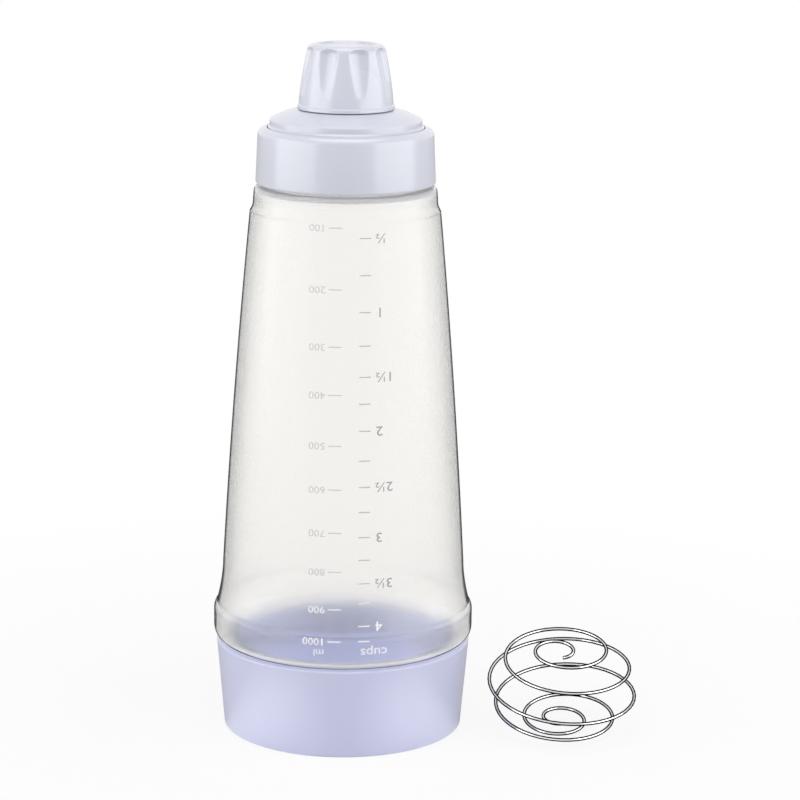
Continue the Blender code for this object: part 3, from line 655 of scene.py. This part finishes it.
def painted_pale_at(vertex):
    """A pale white is painted over the clear plastic round the neck, as painted light over the shade under
    the collar, and on the downward faces of the rounding under the bulge as a painted pale band.
    """
    if vertex.co.z > SHOULDER_TOP - SHELL_WALL - TONE_MARGIN:
        return NECK_PAINTED_LIGHT
    off_axis = math.hypot(vertex.co.x, vertex.co.y)
    if abs(vertex.co.z - SEAM_HEIGHT) < BULGE_PAINTED_REACH and off_axis > SKIRT_RADIUS + TONE_MARGIN:
        return BULGE_PAINTED_PALENESS * min(max(-2.0 * vertex.normal.z, 0.0), 1.0)
    return 0.0


def painted_edge_weight_at(vertex):
    """How strong a painted dark outline an outer face gets where it is seen edge on, a little heavier in the
    flare and, as painted shade, at the seam. Level faces and bores get none.
    """
    outward = vertex.co.x * vertex.normal.x + vertex.co.y * vertex.normal.y
    outward /= math.hypot(vertex.co.x, vertex.co.y)
    upright = float(outward > 0.0)
    if vertex.normal.z > 0.0:
        upright = min(max((outward - UPRIGHT_START) / UPRIGHT_BLEND, 0.0), 1.0)
    in_flare = max(0.0, 1.0 - abs(vertex.co.z - FLARE_MIDDLE) / FLARE_HALF)
    at_seam = float(vertex.co.z < SEAM_HEIGHT + SHELL_WALL)
    return upright * (1.0 + FLARE_PAINTED_EDGE * in_flare + SEAM_PAINTED_SHADE * at_seam)


clear = clear_plastic("clear_hazy_plastic")
shell_line = rounded_line([
    (SKIRT_RADIUS - SHELL_WALL, SKIRT_BOTTOM, 0.0),
    (SKIRT_RADIUS, SKIRT_BOTTOM, 0.4 * MM),
    (SKIRT_RADIUS, SEAM_HEIGHT, 0.3 * MM),
    (BULGE_RADIUS, SEAM_HEIGHT, 5.0 * MM),
    (BULGE_RADIUS, BULGE_TOP, 0.0),
])[1:-1]
shell_line += bulge_to_shoulder(0.0)
shell_line += rounded_line([
    (BARREL_TOP_RADIUS - SHOULDER_STEP, BARREL_TOP + SHOULDER_STEP_HEIGHT, 0.0),
    (SHOULDER_EDGE, SHOULDER_TOP, 2.0 * MM),
    (NECK_RADIUS, SHOULDER_TOP, 0.4 * MM),
    (NECK_RADIUS, NECK_TOP, 0.5 * MM),
    (NECK_RADIUS - SHELL_WALL, NECK_TOP, 0.4 * MM),
    (NECK_RADIUS - SHELL_WALL, SHOULDER_TOP - SHELL_WALL, 0.8 * MM),
    (SHOULDER_EDGE - SHOULDER_INSET, SHOULDER_TOP - SHELL_WALL, 0.4 * MM),
    (SHOULDER_EDGE - SHOULDER_INSET, BARREL_TOP + SHOULDER_STEP_HEIGHT, 0.0),
])[1:-1]
shell_line += reversed(bulge_to_shoulder(SHELL_WALL))
shell_line += rounded_line([
    (BULGE_RADIUS - SHELL_WALL, BULGE_TOP, 0.0),
    (BULGE_RADIUS - SHELL_WALL, SEAM_HEIGHT + SHELL_WALL, 1.6 * MM),
    (SKIRT_RADIUS - SHELL_WALL, SEAM_HEIGHT + SHELL_WALL, 1.0 * MM),
    (SKIRT_RADIUS - SHELL_WALL, SKIRT_BOTTOM, 0.4 * MM),
    (SKIRT_RADIUS, SKIRT_BOTTOM, 0.0),
])[1:-1]
shell_profile = with_rows(shell_line, SKIRT_BOTTOM + 0.3 * MM, SEAM_HEIGHT)
shell_profile = with_rows(shell_profile, SHOULDER_TOP + 0.3 * MM, NECK_TOP)
shell = turned_piece("bottle_wall", shell_profile, 240, closed=True)
for wall_radius, depth, height, steps in (
    (SKIRT_RADIUS, WIDE_THREAD_DEPTH, BASE_THREAD_HEIGHT, BASE_THREAD_STEPS),
    (NECK_RADIUS, NECK_THREAD_DEPTH, NECK_THREAD_HEIGHT, NECK_THREAD_STEPS),
):
    thread = {"wall_radius": wall_radius, "side": 1.0, "depth": depth, "height": height}
    raise_thread(shell, clear, 0, steps, WIDE_SCREW, **thread)
shell.data.set_sharp_from_angle(angle=math.radians(17))
soften_bulge_edge(shell.data)
for name, value_at in (("painted_edge_weight", painted_edge_weight_at), ("painted_pale_share", painted_pale_at)):
    values = shell.data.attributes.new(name, "FLOAT", "POINT").data
    for vertex, mark in zip(shell.data.vertices, values):
        mark.value = value_at(vertex)
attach(shell, "bottle")
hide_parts("bottle_shell")


# The volume marks are printed on the front of the shell in thin satin ink, millilitres on the left and cups
# on the right. They read upside down here, because the bottle is filled standing on its cap.
INK_THICKNESS = 0.17 * MM
INK_MIDDLE = 0.035 * MM
TICK_HEIGHT = 0.42 * MM
ML_TICK_LEFT = -5.6 * MM
ML_TICK_LENGTH = 5.1 * MM
ML_FIGURE_RIGHT = -6.7 * MM
ML_FIGURE_SIZE = 3.9 * MM
ML_FIGURE_HALF = 1.1 * MM
ML_UNIT_MIDDLE = -9.1 * MM
ML_MARKS = {
    "100": 207.0, "200": 183.7, "300": 161.9, "400": 143.5, "500": 124.0,
    "600": 107.0, "700": 90.2, "800": 75.0, "900": 60.3, "1000": 48.3,
}
CUP_TICK_LEFT = 6.2 * MM
CUP_TICK_LENGTH = 4.4 * MM
CUP_FIGURE_LEFT = 12.5 * MM
CUP_FIGURE_SIZE = 5.2 * MM
CUP_FIGURE_HALF = 1.75 * MM
CUP_UNIT_MIDDLE = 12.4 * MM
CUP_MARKS = {
    "\u00bd": 203.1, "1": 175.1, "1\u00bd": 150.4, "2": 129.7, "2\u00bd": 108.0,
    "3": 88.5, "3\u00bd": 70.4, "4": 53.9,
}
CUP_QUARTERS = (189.1, 162.3, 140.1, 118.2, 98.3, 79.6, 62.6, 48.4)
UNIT_HEIGHT = 44.0 * MM
FIGURE_WIDENING = 1.15
SCALE_SLANT = 0.004
INK_CHANGE_HEIGHT = 64.0 * MM
INK_CHANGE_REACH = 8.0 * MM


def wall_radius_at(height):
    """Outside radius of the shell at a height between the seam and the shoulder."""
    line = [(BULGE_RADIUS, SEAM_HEIGHT)] + bulge_to_shoulder(0.0)
    for (radius, low), (next_radius, high) in zip(line, line[1:]):
        if low <= height <= high:
            return radius + (next_radius - radius) * (height - low) / (high - low)
    raise ValueError("there is no wall at this height")


def wrap_on_wall(piece):
    """Lays a flat print (x across, y up, z out) on the front of the wall."""
    for vertex in piece.data.vertices:
        across, height, out = vertex.co
        across += (BARREL_TOP - height) * SCALE_SLANT
        wall = wall_radius_at(height)
        angle = across / wall
        vertex.co = ((wall + out) * math.sin(angle), -(wall + out) * math.cos(angle), height)


def row_of_ticks():
    """Puts one short bar on each point it is given."""
    tree, given = start_shaper("row_of_ticks", "length", "height", "thickness")
    size = vector_of(tree, given["length"], given["height"], given["thickness"])
    bar = put(tree, "GeometryNodeMeshCube", {"Size": size, "Vertices X": 7}).outputs["Mesh"]
    bars = put(tree, "GeometryNodeInstanceOnPoints", {"Points": given["shape"], "Instance": bar})
    end_shaper(tree, bars.outputs[0], given["finish"])
    return tree


def printed_ticks(name, ink, middles, length):
    """Short printed lines, one round each middle of (across, height)."""
    ticks = piece_of(name, [(across, height, INK_MIDDLE) for across, height in middles], [])
    shape_piece(ticks, tick_tree, finish=ink, length=length, height=TICK_HEIGHT, thickness=INK_THICKNESS)
    wrap_on_wall(ticks)
    return ticks


def printed_figures(name, ink, labels, size):
    """Figures as thin raised print, turned upside down. labels holds (text, middle across, height)."""
    points, faces = [], []
    for text, middle, height in labels:
        letters = bpy.data.curves.new(name, "FONT")
        letters.body = text
        letters.size = size
        letters.extrude = INK_THICKNESS / 2
        letters.align_x = "CENTER"
        letters.align_y = "CENTER"
        letters.resolution_u = 3
        holder = in_scene(name, letters)
        flat = worked_out(holder)
        first = len(points)
        for vertex in flat.vertices:
            across = middle - vertex.co.x * FIGURE_WIDENING
            points.append((across, height - vertex.co.y, INK_MIDDLE + vertex.co.z))
        faces += [[first + corner for corner in face.vertices] for face in flat.polygons]
        bpy.data.objects.remove(holder)
        bpy.data.meshes.remove(flat)
    figures = piece_of(name, points, faces)
    figures.data.materials.append(ink)
    wrap_on_wall(figures)
    return figures


def printed_ink(name, upper):
    """Satin ink, painted white low down as a painted highlight, where the marks stand against the lavender
    base.
    """
    material = moulded_plastic(name, upper, photographed(250, 250, 252), 0.45, 60.0)
    tree = material.node_tree
    tone = tree.nodes["Principled BSDF"].inputs["Base Color"].links[0].from_node
    height = parts_of(tree, put(tree, "ShaderNodeTexCoord").outputs["Object"])[2]
    # Painted highlight: low down the ink is painted white, where the raised marks catch light against the
    # lavender base.
    painted_highlight_low = ((INK_CHANGE_HEIGHT - height) / INK_CHANGE_REACH + 0.5).in_range()
    feed(tree, tone.inputs["Factor"], painted_highlight_low)
    return material


ml_ink = printed_ink("ink_millilitres", photographed(212, 211, 212))
cup_tick_ink = printed_ink("ink_cup_ticks", photographed(196, 194, 195))
cup_ink = printed_ink("ink_cup_figures", photographed(158, 158, 162))
tick_tree = row_of_ticks()
cup_heights = (*CUP_MARKS.values(), *CUP_QUARTERS)
ml_middles = [(ML_TICK_LEFT + ML_TICK_LENGTH / 2, height * MM) for height in ML_MARKS.values()]
cup_middles = [(CUP_TICK_LEFT + CUP_TICK_LENGTH / 2, height * MM) for height in cup_heights]
ml_labels, cup_labels = [], []
for text, height in ML_MARKS.items():
    ml_labels.append((text, ML_FIGURE_RIGHT - len(text) * ML_FIGURE_HALF, height * MM))
for text, height in CUP_MARKS.items():
    cup_labels.append((text, CUP_FIGURE_LEFT + len(text) * CUP_FIGURE_HALF, height * MM))
ml_labels.append(("ml", ML_UNIT_MIDDLE, UNIT_HEIGHT))
cup_labels.append(("cups", CUP_UNIT_MIDDLE, UNIT_HEIGHT))
for print_piece in (
    printed_ticks("marks_ml_ticks", ml_ink, ml_middles, ML_TICK_LENGTH),
    printed_ticks("marks_cup_ticks", cup_tick_ink, cup_middles, CUP_TICK_LENGTH),
    printed_figures("marks_ml_figures", ml_ink, ml_labels, ML_FIGURE_SIZE),
    printed_figures("marks_cup_figures", cup_ink, cup_labels, CUP_FIGURE_SIZE),
):
    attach(print_piece, "bottle")


# The collar is the pale lavender screw ring that holds the spout down on the neck. It is moulded with a
# rounded upper edge, a lip over the dome's flange and an inner thread.
COLLAR_BOTTOM = 219.0 * MM
COLLAR_TOP = 240.8 * MM
COLLAR_RADIUS = 35.1 * MM
COLLAR_TOP_RADIUS = 34.2 * MM
COLLAR_BORE = 32.4 * MM
COLLAR_HOLE = 30.7 * MM
COLLAR_LIP_BOTTOM = 239.6 * MM
lid_tones = (photographed(212, 214, 226), photographed(208, 210, 222))
pale_lavender = moulded_plastic("lavender_lid", *lid_tones, 0.28)
# Painted light: the collar's bore is painted near white, to lighten the shade under the collar seen through
# the clear neck.
bore_painted_light = photographed(248, 248, 251)
paint_light_within(pale_lavender, COLLAR_BORE + 0.1 * MM, COLLAR_BOTTOM + TONE_MARGIN, COLLAR_LIP_BOTTOM, bore_painted_light)
collar_profile = rounded_line([
    (COLLAR_BORE, COLLAR_BOTTOM, 0.3 * MM),
    (COLLAR_RADIUS, COLLAR_BOTTOM, 0.8 * MM),
    (COLLAR_TOP_RADIUS, COLLAR_TOP - 1.0 * MM, 2.75 * MM),
    (COLLAR_HOLE, COLLAR_TOP, 0.25 * MM),
    (COLLAR_HOLE, COLLAR_LIP_BOTTOM, 0.2 * MM),
    (COLLAR_BORE, COLLAR_LIP_BOTTOM, 0.3 * MM),
])
collar_profile.append(collar_profile[0])
collar_profile = with_rows(collar_profile, COLLAR_BOTTOM + 0.2 * MM, COLLAR_LIP_BOTTOM)[:-1]
collar = turned_piece("screw_collar", collar_profile, closed=True)
mate_height = NECK_THREAD_HEIGHT - mating_offset(NECK_THREAD_DEPTH)
thread = {"wall_radius": COLLAR_BORE, "side": -1.0, "depth": NECK_THREAD_DEPTH, "height": mate_height}
raise_thread(collar, pale_lavender, NECK_MATE_FIRST, NECK_THREAD_STEPS, WIDE_SCREW, **thread)
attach(collar, "collar")
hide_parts("collar")


# The dome is the low spout under the collar: a plug in the neck, a flange under the collar's lip, a stepped
# crown and a short threaded boss for the cap. It is one moulding in the collar's own plastic.
FLANGE_BOTTOM = 237.8 * MM
FLANGE_TOP = 239.3 * MM
FLANGE_RADIUS = 31.95 * MM
PLUG_RADIUS = 28.4 * MM
PLUG_BORE = 26.9 * MM
PLUG_BOTTOM = 232.5 * MM
DOME_FOOT = 30.35 * MM
DOME_RADIUS = 29.6 * MM
DOME_EDGE = 243.3 * MM
DOME_EDGE_RADIUS = 0.9 * MM
DOME_EDGE_ANGLE = 70.0
DOME_WALL = 1.8 * MM
CROWN_POWER = 1.4
CAP_SEAT = 247.6 * MM
CAP_FOOT_RADIUS = 18.85 * MM
BOSS_RADIUS = 13.6 * MM
BOSS_BORE = 11.4 * MM
BOSS_TOP = 255.6 * MM
BOSS_PLATE = 2.0 * MM
SPOUT_HOLE = 7.0 * MM
CAP_THREAD_DEPTH = 0.75 * MM
CAP_SCREW = {"crest": 0.9 * MM, "lead": 12.0 * MM, "starts": 3}
CAP_THREAD_HEIGHT = CAP_SEAT + 2.2 * MM
CAP_THREAD_STEPS = 13


def dome_crown():
    """The crown's rounded rim and its swelling slope, which ends level where the cap stands."""
    line = []
    for step in range(7):
        angle = math.radians(DOME_EDGE_ANGLE * step / 6)
        radius = DOME_RADIUS - DOME_EDGE_RADIUS + DOME_EDGE_RADIUS * math.cos(angle)
        line.append((radius, DOME_EDGE + DOME_EDGE_RADIUS * math.sin(angle)))
    edge_r, edge_z = line[-1]
    for step in range(1, 15):
        share = step / 14
        fall = (CAP_SEAT - edge_z) * (1 - share) ** CROWN_POWER
        line.append((edge_r + (CAP_FOOT_RADIUS - edge_r) * share, CAP_SEAT - fall))
    return line


dome_profile = rounded_line([
    (PLUG_BORE, PLUG_BOTTOM, 0.3 * MM),
    (PLUG_RADIUS, PLUG_BOTTOM, 0.5 * MM),
    (PLUG_RADIUS, FLANGE_BOTTOM, 0.2 * MM),
    (FLANGE_RADIUS, FLANGE_BOTTOM, 0.3 * MM),
    (FLANGE_RADIUS, FLANGE_TOP, 0.3 * MM),
    (DOME_FOOT, FLANGE_TOP, 0.0),
    (DOME_FOOT, COLLAR_TOP, 0.0),
    (DOME_RADIUS, COLLAR_TOP + 0.75 * MM, 0.6 * MM),
    (DOME_RADIUS, DOME_EDGE, 0.0),
])
dome_profile += dome_crown()[1:]
dome_profile += rounded_line([
    (CAP_FOOT_RADIUS, CAP_SEAT, 0.0),
    (BOSS_RADIUS, CAP_SEAT, 0.2 * MM),
    (BOSS_RADIUS, BOSS_TOP, 0.5 * MM),
    (SPOUT_HOLE, BOSS_TOP, 0.2 * MM),
    (SPOUT_HOLE, BOSS_TOP - BOSS_PLATE, 0.2 * MM),
    (BOSS_BORE, BOSS_TOP - BOSS_PLATE, 0.4 * MM),
    (BOSS_BORE, CAP_SEAT - DOME_WALL, 0.5 * MM),
    (CAP_FOOT_RADIUS, CAP_SEAT - DOME_WALL, 3.0 * MM),
    (DOME_RADIUS - DOME_WALL - 1.0 * MM, DOME_EDGE - DOME_WALL + 1.0 * MM, 0.5 * MM),
    (DOME_RADIUS - DOME_WALL, DOME_EDGE - DOME_WALL, 0.5 * MM),
    (DOME_RADIUS - DOME_WALL, FLANGE_TOP, 0.5 * MM),
    (PLUG_BORE, FLANGE_BOTTOM, 0.5 * MM),
    (PLUG_BORE, PLUG_BOTTOM, 0.0),
])[1:-1]
dome = turned_piece("spout_dome_shell", with_rows(dome_profile, CAP_SEAT + 0.1 * MM, BOSS_TOP), closed=True)
thread = {"wall_radius": BOSS_RADIUS, "side": 1.0, "depth": CAP_THREAD_DEPTH, "height": CAP_THREAD_HEIGHT}
raise_thread(dome, pale_lavender, 0, CAP_THREAD_STEPS, CAP_SCREW, **thread)
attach(dome, "spout_insert")
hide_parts("spout_dome")


# The neck seal is a thin silicone ring between the neck's edge and the dome's flange. The nozzle is a soft
# silicone spout whose groove snaps into the dome's hole, and its flange keeps it from being squeezed out.
NECK_SEAL_BOTTOM = 236.3 * MM
NECK_SEAL_TOP = 237.5 * MM
NECK_SEAL_INNER = 28.85 * MM
NECK_SEAL_OUTER = 31.65 * MM
GROOVE_RADIUS = 6.7 * MM
NOZZLE_FLANGE_RADIUS = GROOVE_RADIUS + 2.6 * MM
NOZZLE_BEAD_RADIUS = GROOVE_RADIUS + 1.4 * MM
NOZZLE_BORE = 3.5 * MM
NOZZLE_LOW = 250.5 * MM
NOZZLE_TOP = 268.1 * MM
silicone = soft_silicone("white_silicone", photographed(236, 236, 240), photographed(226, 227, 233))
neck_seal = turned_piece("neck_seal_ring", rounded_line([
    (NECK_SEAL_OUTER, NECK_SEAL_BOTTOM, 0.3 * MM),
    (NECK_SEAL_OUTER, NECK_SEAL_TOP, 0.3 * MM),
    (NECK_SEAL_INNER, NECK_SEAL_TOP, 0.3 * MM),
    (NECK_SEAL_INNER, NECK_SEAL_BOTTOM, 0.3 * MM),
]), closed=True)
neck_seal.data.materials.append(silicone)
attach(neck_seal, "spout_insert")
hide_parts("neck_seal")

groove_bottom = BOSS_TOP - BOSS_PLATE - 0.3 * MM
groove_top = BOSS_TOP + 0.3 * MM
bead_top = groove_top + 1.9 * MM
nozzle = turned_piece("silicone_nozzle", rounded_line([
    (NOZZLE_FLANGE_RADIUS, NOZZLE_LOW, 0.5 * MM),
    (NOZZLE_FLANGE_RADIUS, groove_bottom, 0.5 * MM),
    (GROOVE_RADIUS, groove_bottom, 0.2 * MM),
    (GROOVE_RADIUS, groove_top, 0.2 * MM),
    (NOZZLE_BEAD_RADIUS, groove_top, 0.4 * MM),
    (NOZZLE_BEAD_RADIUS, bead_top, 0.7 * MM),
    (GROOVE_RADIUS + 0.7 * MM, bead_top, 0.2 * MM),
    (NOZZLE_BORE + 2.1 * MM, NOZZLE_TOP - 1.2 * MM, 0.5 * MM),
    (NOZZLE_BORE + 1.5 * MM, NOZZLE_TOP, 0.4 * MM),
    (NOZZLE_BORE, NOZZLE_TOP, 0.3 * MM),
    (NOZZLE_BORE, bead_top, 2.0 * MM),
    (NOZZLE_BORE + 2.0 * MM, NOZZLE_LOW, 0.4 * MM),
]), 96, closed=True)
nozzle.data.materials.append(silicone)
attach(nozzle, "spout_insert")
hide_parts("nozzle")


# The cap screws on over the nozzle. It is a tapering moulding with eight finger hollows, a thin foot band
# and a shallow dish in its top, and a silicone disc in its roof closes the nozzle.
CAP_BOTTOM = 247.9 * MM
CAP_TOP = 272.8 * MM
CAP_LOW_RADIUS = 18.4 * MM
CAP_TOP_RADIUS = 15.3 * MM
CAP_LOW = 249.6 * MM
CAP_HIGH = 270.0 * MM
CAP_SWELL = 0.35 * MM
CAP_BORE = 14.7 * MM
CAP_INNER_TOP = 11.0 * MM
CAP_CEILING = 270.7 * MM
LINER_RADIUS = CAP_INNER_TOP - 0.3 * MM
LINER_BOTTOM = 268.6 * MM
LINER_TOP = 270.4 * MM
CAP_SIDES = 320
CAP_MATE_FIRST = 3
FLUTE_TOP = CAP_TOP - 0.9 * MM
FLUTES = {
    "count": 8,
    "depth": 1.9 * MM,
    "round": 6.2 * MM,
    "top": FLUTE_TOP,
    "length": FLUTE_TOP - CAP_BOTTOM - 5.4 * MM,
    "top_round": 2.4 * MM,
    "edge": 0.7 * MM,
    "skew": -2.7,
    "low": CAP_LOW,
    "high": CAP_HIGH,
    "low_radius": CAP_LOW_RADIUS,
    "high_radius": CAP_TOP_RADIUS,
    "swell": CAP_SWELL,
}
FLUTE_TIP_POWER = 1.6
FLUTE_SKIN = 2.5 * MM
FRONT_TURN = 1.25
OUT_OF_REACH = 10.0 * MM
DISH_RADIUS = 11.2 * MM
DISH_FLOOR_RADIUS = 10.6 * MM
DISH_DEPTH = 0.7 * MM


def cap_side(height):
    """Outside of the cap above its foot band: a taper that swells a little at half its height."""
    share = (height - CAP_LOW) / (CAP_HIGH - CAP_LOW)
    return CAP_LOW_RADIUS + (CAP_TOP_RADIUS - CAP_LOW_RADIUS) * share + 4 * CAP_SWELL * share * (1 - share)


def finger_hollows():
    """Presses round hollows into the cap's side. They end square above and run out to a tip below."""
    tree, given = start_shaper("finger_hollows", *FLUTES)
    place, radius, turn, z = radius_and_turn(tree)
    share = (z - given["low"]) / (given["high"] - given["low"])
    side = (given["high_radius"] - given["low_radius"]) * share + given["low_radius"]
    side = share * (1.0 - share) * 4.0 * given["swell"] + side
    below = given["top"] - z
    tip = 1.0 - (below / given["length"]).in_range().sum("POWER", FLUTE_TIP_POWER)
    near_top = 1.0 - (below / given["top_round"]).in_range()
    depth = tip * given["depth"] * (1.0 - near_top * near_top).sum("SQRT")
    centre = side - depth + given["round"]
    off = ((turn - given["skew"] / 360.0 + FRONT_TURN) * given["count"]).sum("FRACT")
    angle = (off - 0.5) / given["count"] * (2 * math.pi)
    across = centre * angle.sum("SINE")
    inside = given["round"] * given["round"] - across * across
    wall = centre * angle.sum("COSINE") - inside.at_least(0.0).sum("SQRT")
    wall = wall + (inside < 0.0) * OUT_OF_REACH
    cut = radius.sum("SMOOTH_MIN", wall, given["edge"])
    chosen = (radius > side - FLUTE_SKIN) * (below > 0.0) * (below < given["length"])
    shape = move_to_radius(tree, given["shape"], place, radius, radius + (cut - radius) * chosen)
    end_shaper(tree, shape, given["finish"])
    return tree


cap_profile = [
    (0.0, CAP_CEILING),
    (CAP_INNER_TOP - 0.5 * MM, CAP_CEILING),
    (CAP_INNER_TOP, CAP_CEILING - 0.5 * MM),
    (CAP_INNER_TOP, LINER_BOTTOM),
    (CAP_BORE, BOSS_TOP + 1.2 * MM),
    (CAP_BORE, CAP_BOTTOM + 0.2 * MM),
    (CAP_BORE + 0.2 * MM, CAP_BOTTOM),
]
cap_profile += rounded_line([
    (CAP_BORE, CAP_BOTTOM, 0.0),
    (CAP_FOOT_RADIUS, CAP_BOTTOM, 0.3 * MM),
    (CAP_FOOT_RADIUS - 0.1 * MM, CAP_BOTTOM + 1.3 * MM, 0.3 * MM),
    (CAP_LOW_RADIUS, CAP_LOW, 0.0),
])[1:]
for step in range(1, 73):
    height = CAP_LOW + (CAP_HIGH - CAP_LOW) * step / 72
    cap_profile.append((cap_side(height), height))
top_rounding = CAP_TOP - CAP_HIGH
for step in range(1, 13):
    angle = math.radians(90 * step / 12)
    radius = CAP_TOP_RADIUS - top_rounding * (1 - math.cos(angle))
    cap_profile.append((radius, CAP_HIGH + top_rounding * math.sin(angle)))
cap_profile += rounded_line([
    (CAP_TOP_RADIUS - top_rounding, CAP_TOP, 0.0),
    (DISH_RADIUS, CAP_TOP, 0.5 * MM),
    (DISH_FLOOR_RADIUS, CAP_TOP - DISH_DEPTH, 0.5 * MM),
    (0.0, CAP_TOP - DISH_DEPTH, 0.0),
])[1:]
cap = turned_piece("fluted_cap", with_rows(cap_profile, CAP_BOTTOM, BOSS_TOP + 1.3 * MM), CAP_SIDES)
shape_piece(cap, finger_hollows(), finish=pale_lavender, **FLUTES)
mate_height = CAP_THREAD_HEIGHT - mating_offset(CAP_THREAD_DEPTH, CAP_SCREW["crest"])
thread = {"wall_radius": CAP_BORE, "side": -1.0, "depth": CAP_THREAD_DEPTH, "height": mate_height}
raise_thread(cap, pale_lavender, CAP_MATE_FIRST, CAP_THREAD_STEPS, CAP_SCREW, **thread)
cap.data.shade_smooth()
cap.data.set_sharp_from_angle(angle=math.radians(50))
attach(cap, "nozzle_cap")
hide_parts("nozzle_cap")

liner = turned_piece("cap_liner_disc", rounded_line([
    (0.0, LINER_BOTTOM, 0.0),
    (LINER_RADIUS, LINER_BOTTOM, 0.4 * MM),
    (LINER_RADIUS, LINER_TOP, 0.4 * MM),
    (0.0, LINER_TOP, 0.0),
]), 96)
liner.data.materials.append(silicone)
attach(liner, "cap_liner")
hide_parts("cap_liner")


# The whisk ball is one length of polished stainless wire, wound like a cage from an open eye below to a
# small hook above. It lies loose beside the bottle and leans a little towards the front.
WHISK = {
    "points": 292,
    "first": -0.95,
    "last": 5.0,
    "widest": 2.06,
    "upper": 3.1,
    "lower": 2.95,
    "upper_taper": 1.06,
    "lower_taper": 2.24,
    "radius": 29.4 * MM,
    "eye": 6.6 * MM,
    "height": 15.9 * MM,
    "middle": 1.93,
    "dip": 43.9,
    "lag": 0.43,
    "lean": 12.0,
    "wire": 0.75 * MM,
}
WHISK_CENTRE = (BULGE_RADIUS + 36.2 * MM, -10.0 * MM)
PAINTED_EDGE_START = 0.97
PAINTED_EDGE_BLEND = 0.04


def wound_wire():
    """Winds a wire whose loops grow to the widest turn and close in to an eye.

    first, last, widest and middle are places along it, upper and lower are stretches of it, all in turns.
    """
    tree, given = start_shaper("wound_wire", *WHISK)
    line = put(tree, "GeometryNodeMeshLine", {"Count": given["points"]}).outputs[0]
    index = Number(tree, put(tree, "GeometryNodeInputIndex").outputs[0])
    turn = index / (given["points"] - 1.0) * (given["last"] - given["first"]) + given["first"]
    past = turn - given["widest"]
    above = (past.at_most(0.0) / given["upper"] * (math.pi / 2)).sum("COSINE")
    above = above.sum("POWER", given["upper_taper"]) * given["radius"]
    under = (past.at_least(0.0) / given["lower"] * (math.pi / 2)).sum("COSINE")
    under = under.sum("POWER", given["lower_taper"]) * (given["radius"] - given["eye"]) + given["eye"]
    loop = above.at_most(under)
    angle = (turn - 0.25) * (2 * math.pi)
    dip = (turn - given["middle"]) * given["dip"]
    dip = dip - (dip - 90.0).at_least(0.0) * given["lag"]
    drop = dip.sum("RADIANS").sum("SINE") * given["height"]
    point = vector_of(tree, loop * angle.sum("COSINE"), loop * angle.sum("SINE"), drop * -1.0)
    lean = {"Vector": point, "Angle": given["lean"].sum("RADIANS")}
    leaning = put(tree, "ShaderNodeVectorRotate", lean, rotation_type="X_AXIS").outputs[0]
    bent = put(tree, "GeometryNodeSetPosition", {"Geometry": line, "Position": leaning})
    path = put(tree, "GeometryNodeMeshToCurve", {0: bent.outputs[0]}).outputs[0]
    tangent = put(tree, "GeometryNodeInputTangent").outputs[0]
    noted = {"Geometry": path, "Name": "wire_run", "Value": tangent}
    run = put(tree, "GeometryNodeStoreNamedAttribute", noted, data_type="FLOAT_VECTOR", domain="POINT")
    section = put(tree, "GeometryNodeCurvePrimitiveCircle", {"Resolution": 16, "Radius": given["wire"]})
    along = {"Curve": run.outputs[0], "Profile Curve": section.outputs[0], "Fill Caps": True}
    tube = put(tree, "GeometryNodeCurveToMesh", along)
    end_shaper(tree, tube.outputs[0], given["finish"])
    return tree


def polished_steel(name):
    """Drawn and polished stainless wire with a painted reflection in its colour: bright along its middle and
    dark along its edges, by viewing angle. Its gloss is faintly uneven.
    """
    material, tree, shader, place = start_material(name)
    facing = 1.0 - Number(tree, put(tree, "ShaderNodeLayerWeight").outputs["Facing"])
    wire_run = put(tree, "ShaderNodeAttribute", attribute_name="wire_run")
    on_run = put(tree, "ShaderNodeLayerWeight", {"Normal": wire_run.outputs["Vector"]})
    along = 1.0 - Number(tree, on_run.outputs["Facing"])
    most = (1.0 - along * along).sum("SQRT").at_least(0.1)
    # Painted reflection: the colour turns from a bright core to a dark edge as the wire is seen more edge
    # on.
    painted_dark_edge = ((PAINTED_EDGE_START - facing / most) / PAINTED_EDGE_BLEND).in_range()
    give(tree, shader, {
        "Metallic": 1.0,
        "Specular Tint": (0.1, 0.1, 0.1, 1.0),
        "Base Color": mixed_tones(tree, painted_dark_edge, photographed(232, 232, 234), photographed(12, 12, 13)),
        "Roughness": clouds(tree, place, 420.0, 3.0) * 0.1 + 0.1,
    })
    return material


steel = polished_steel("polished_steel_wire")
whisk = in_scene("whisk_wire", bpy.data.meshes.new("whisk_wire"))
shape_piece(whisk, wound_wire(), finish=steel, **WHISK)
lowest = min(vertex.co.z for vertex in whisk.data.vertices)
resting_place = Vector((*WHISK_CENTRE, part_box("whisk_ball")[0].z - lowest))
for vertex in whisk.data.vertices:
    vertex.co += resting_place
whisk.data.shade_smooth()
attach(whisk, "whisk")
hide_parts("whisk_ball")
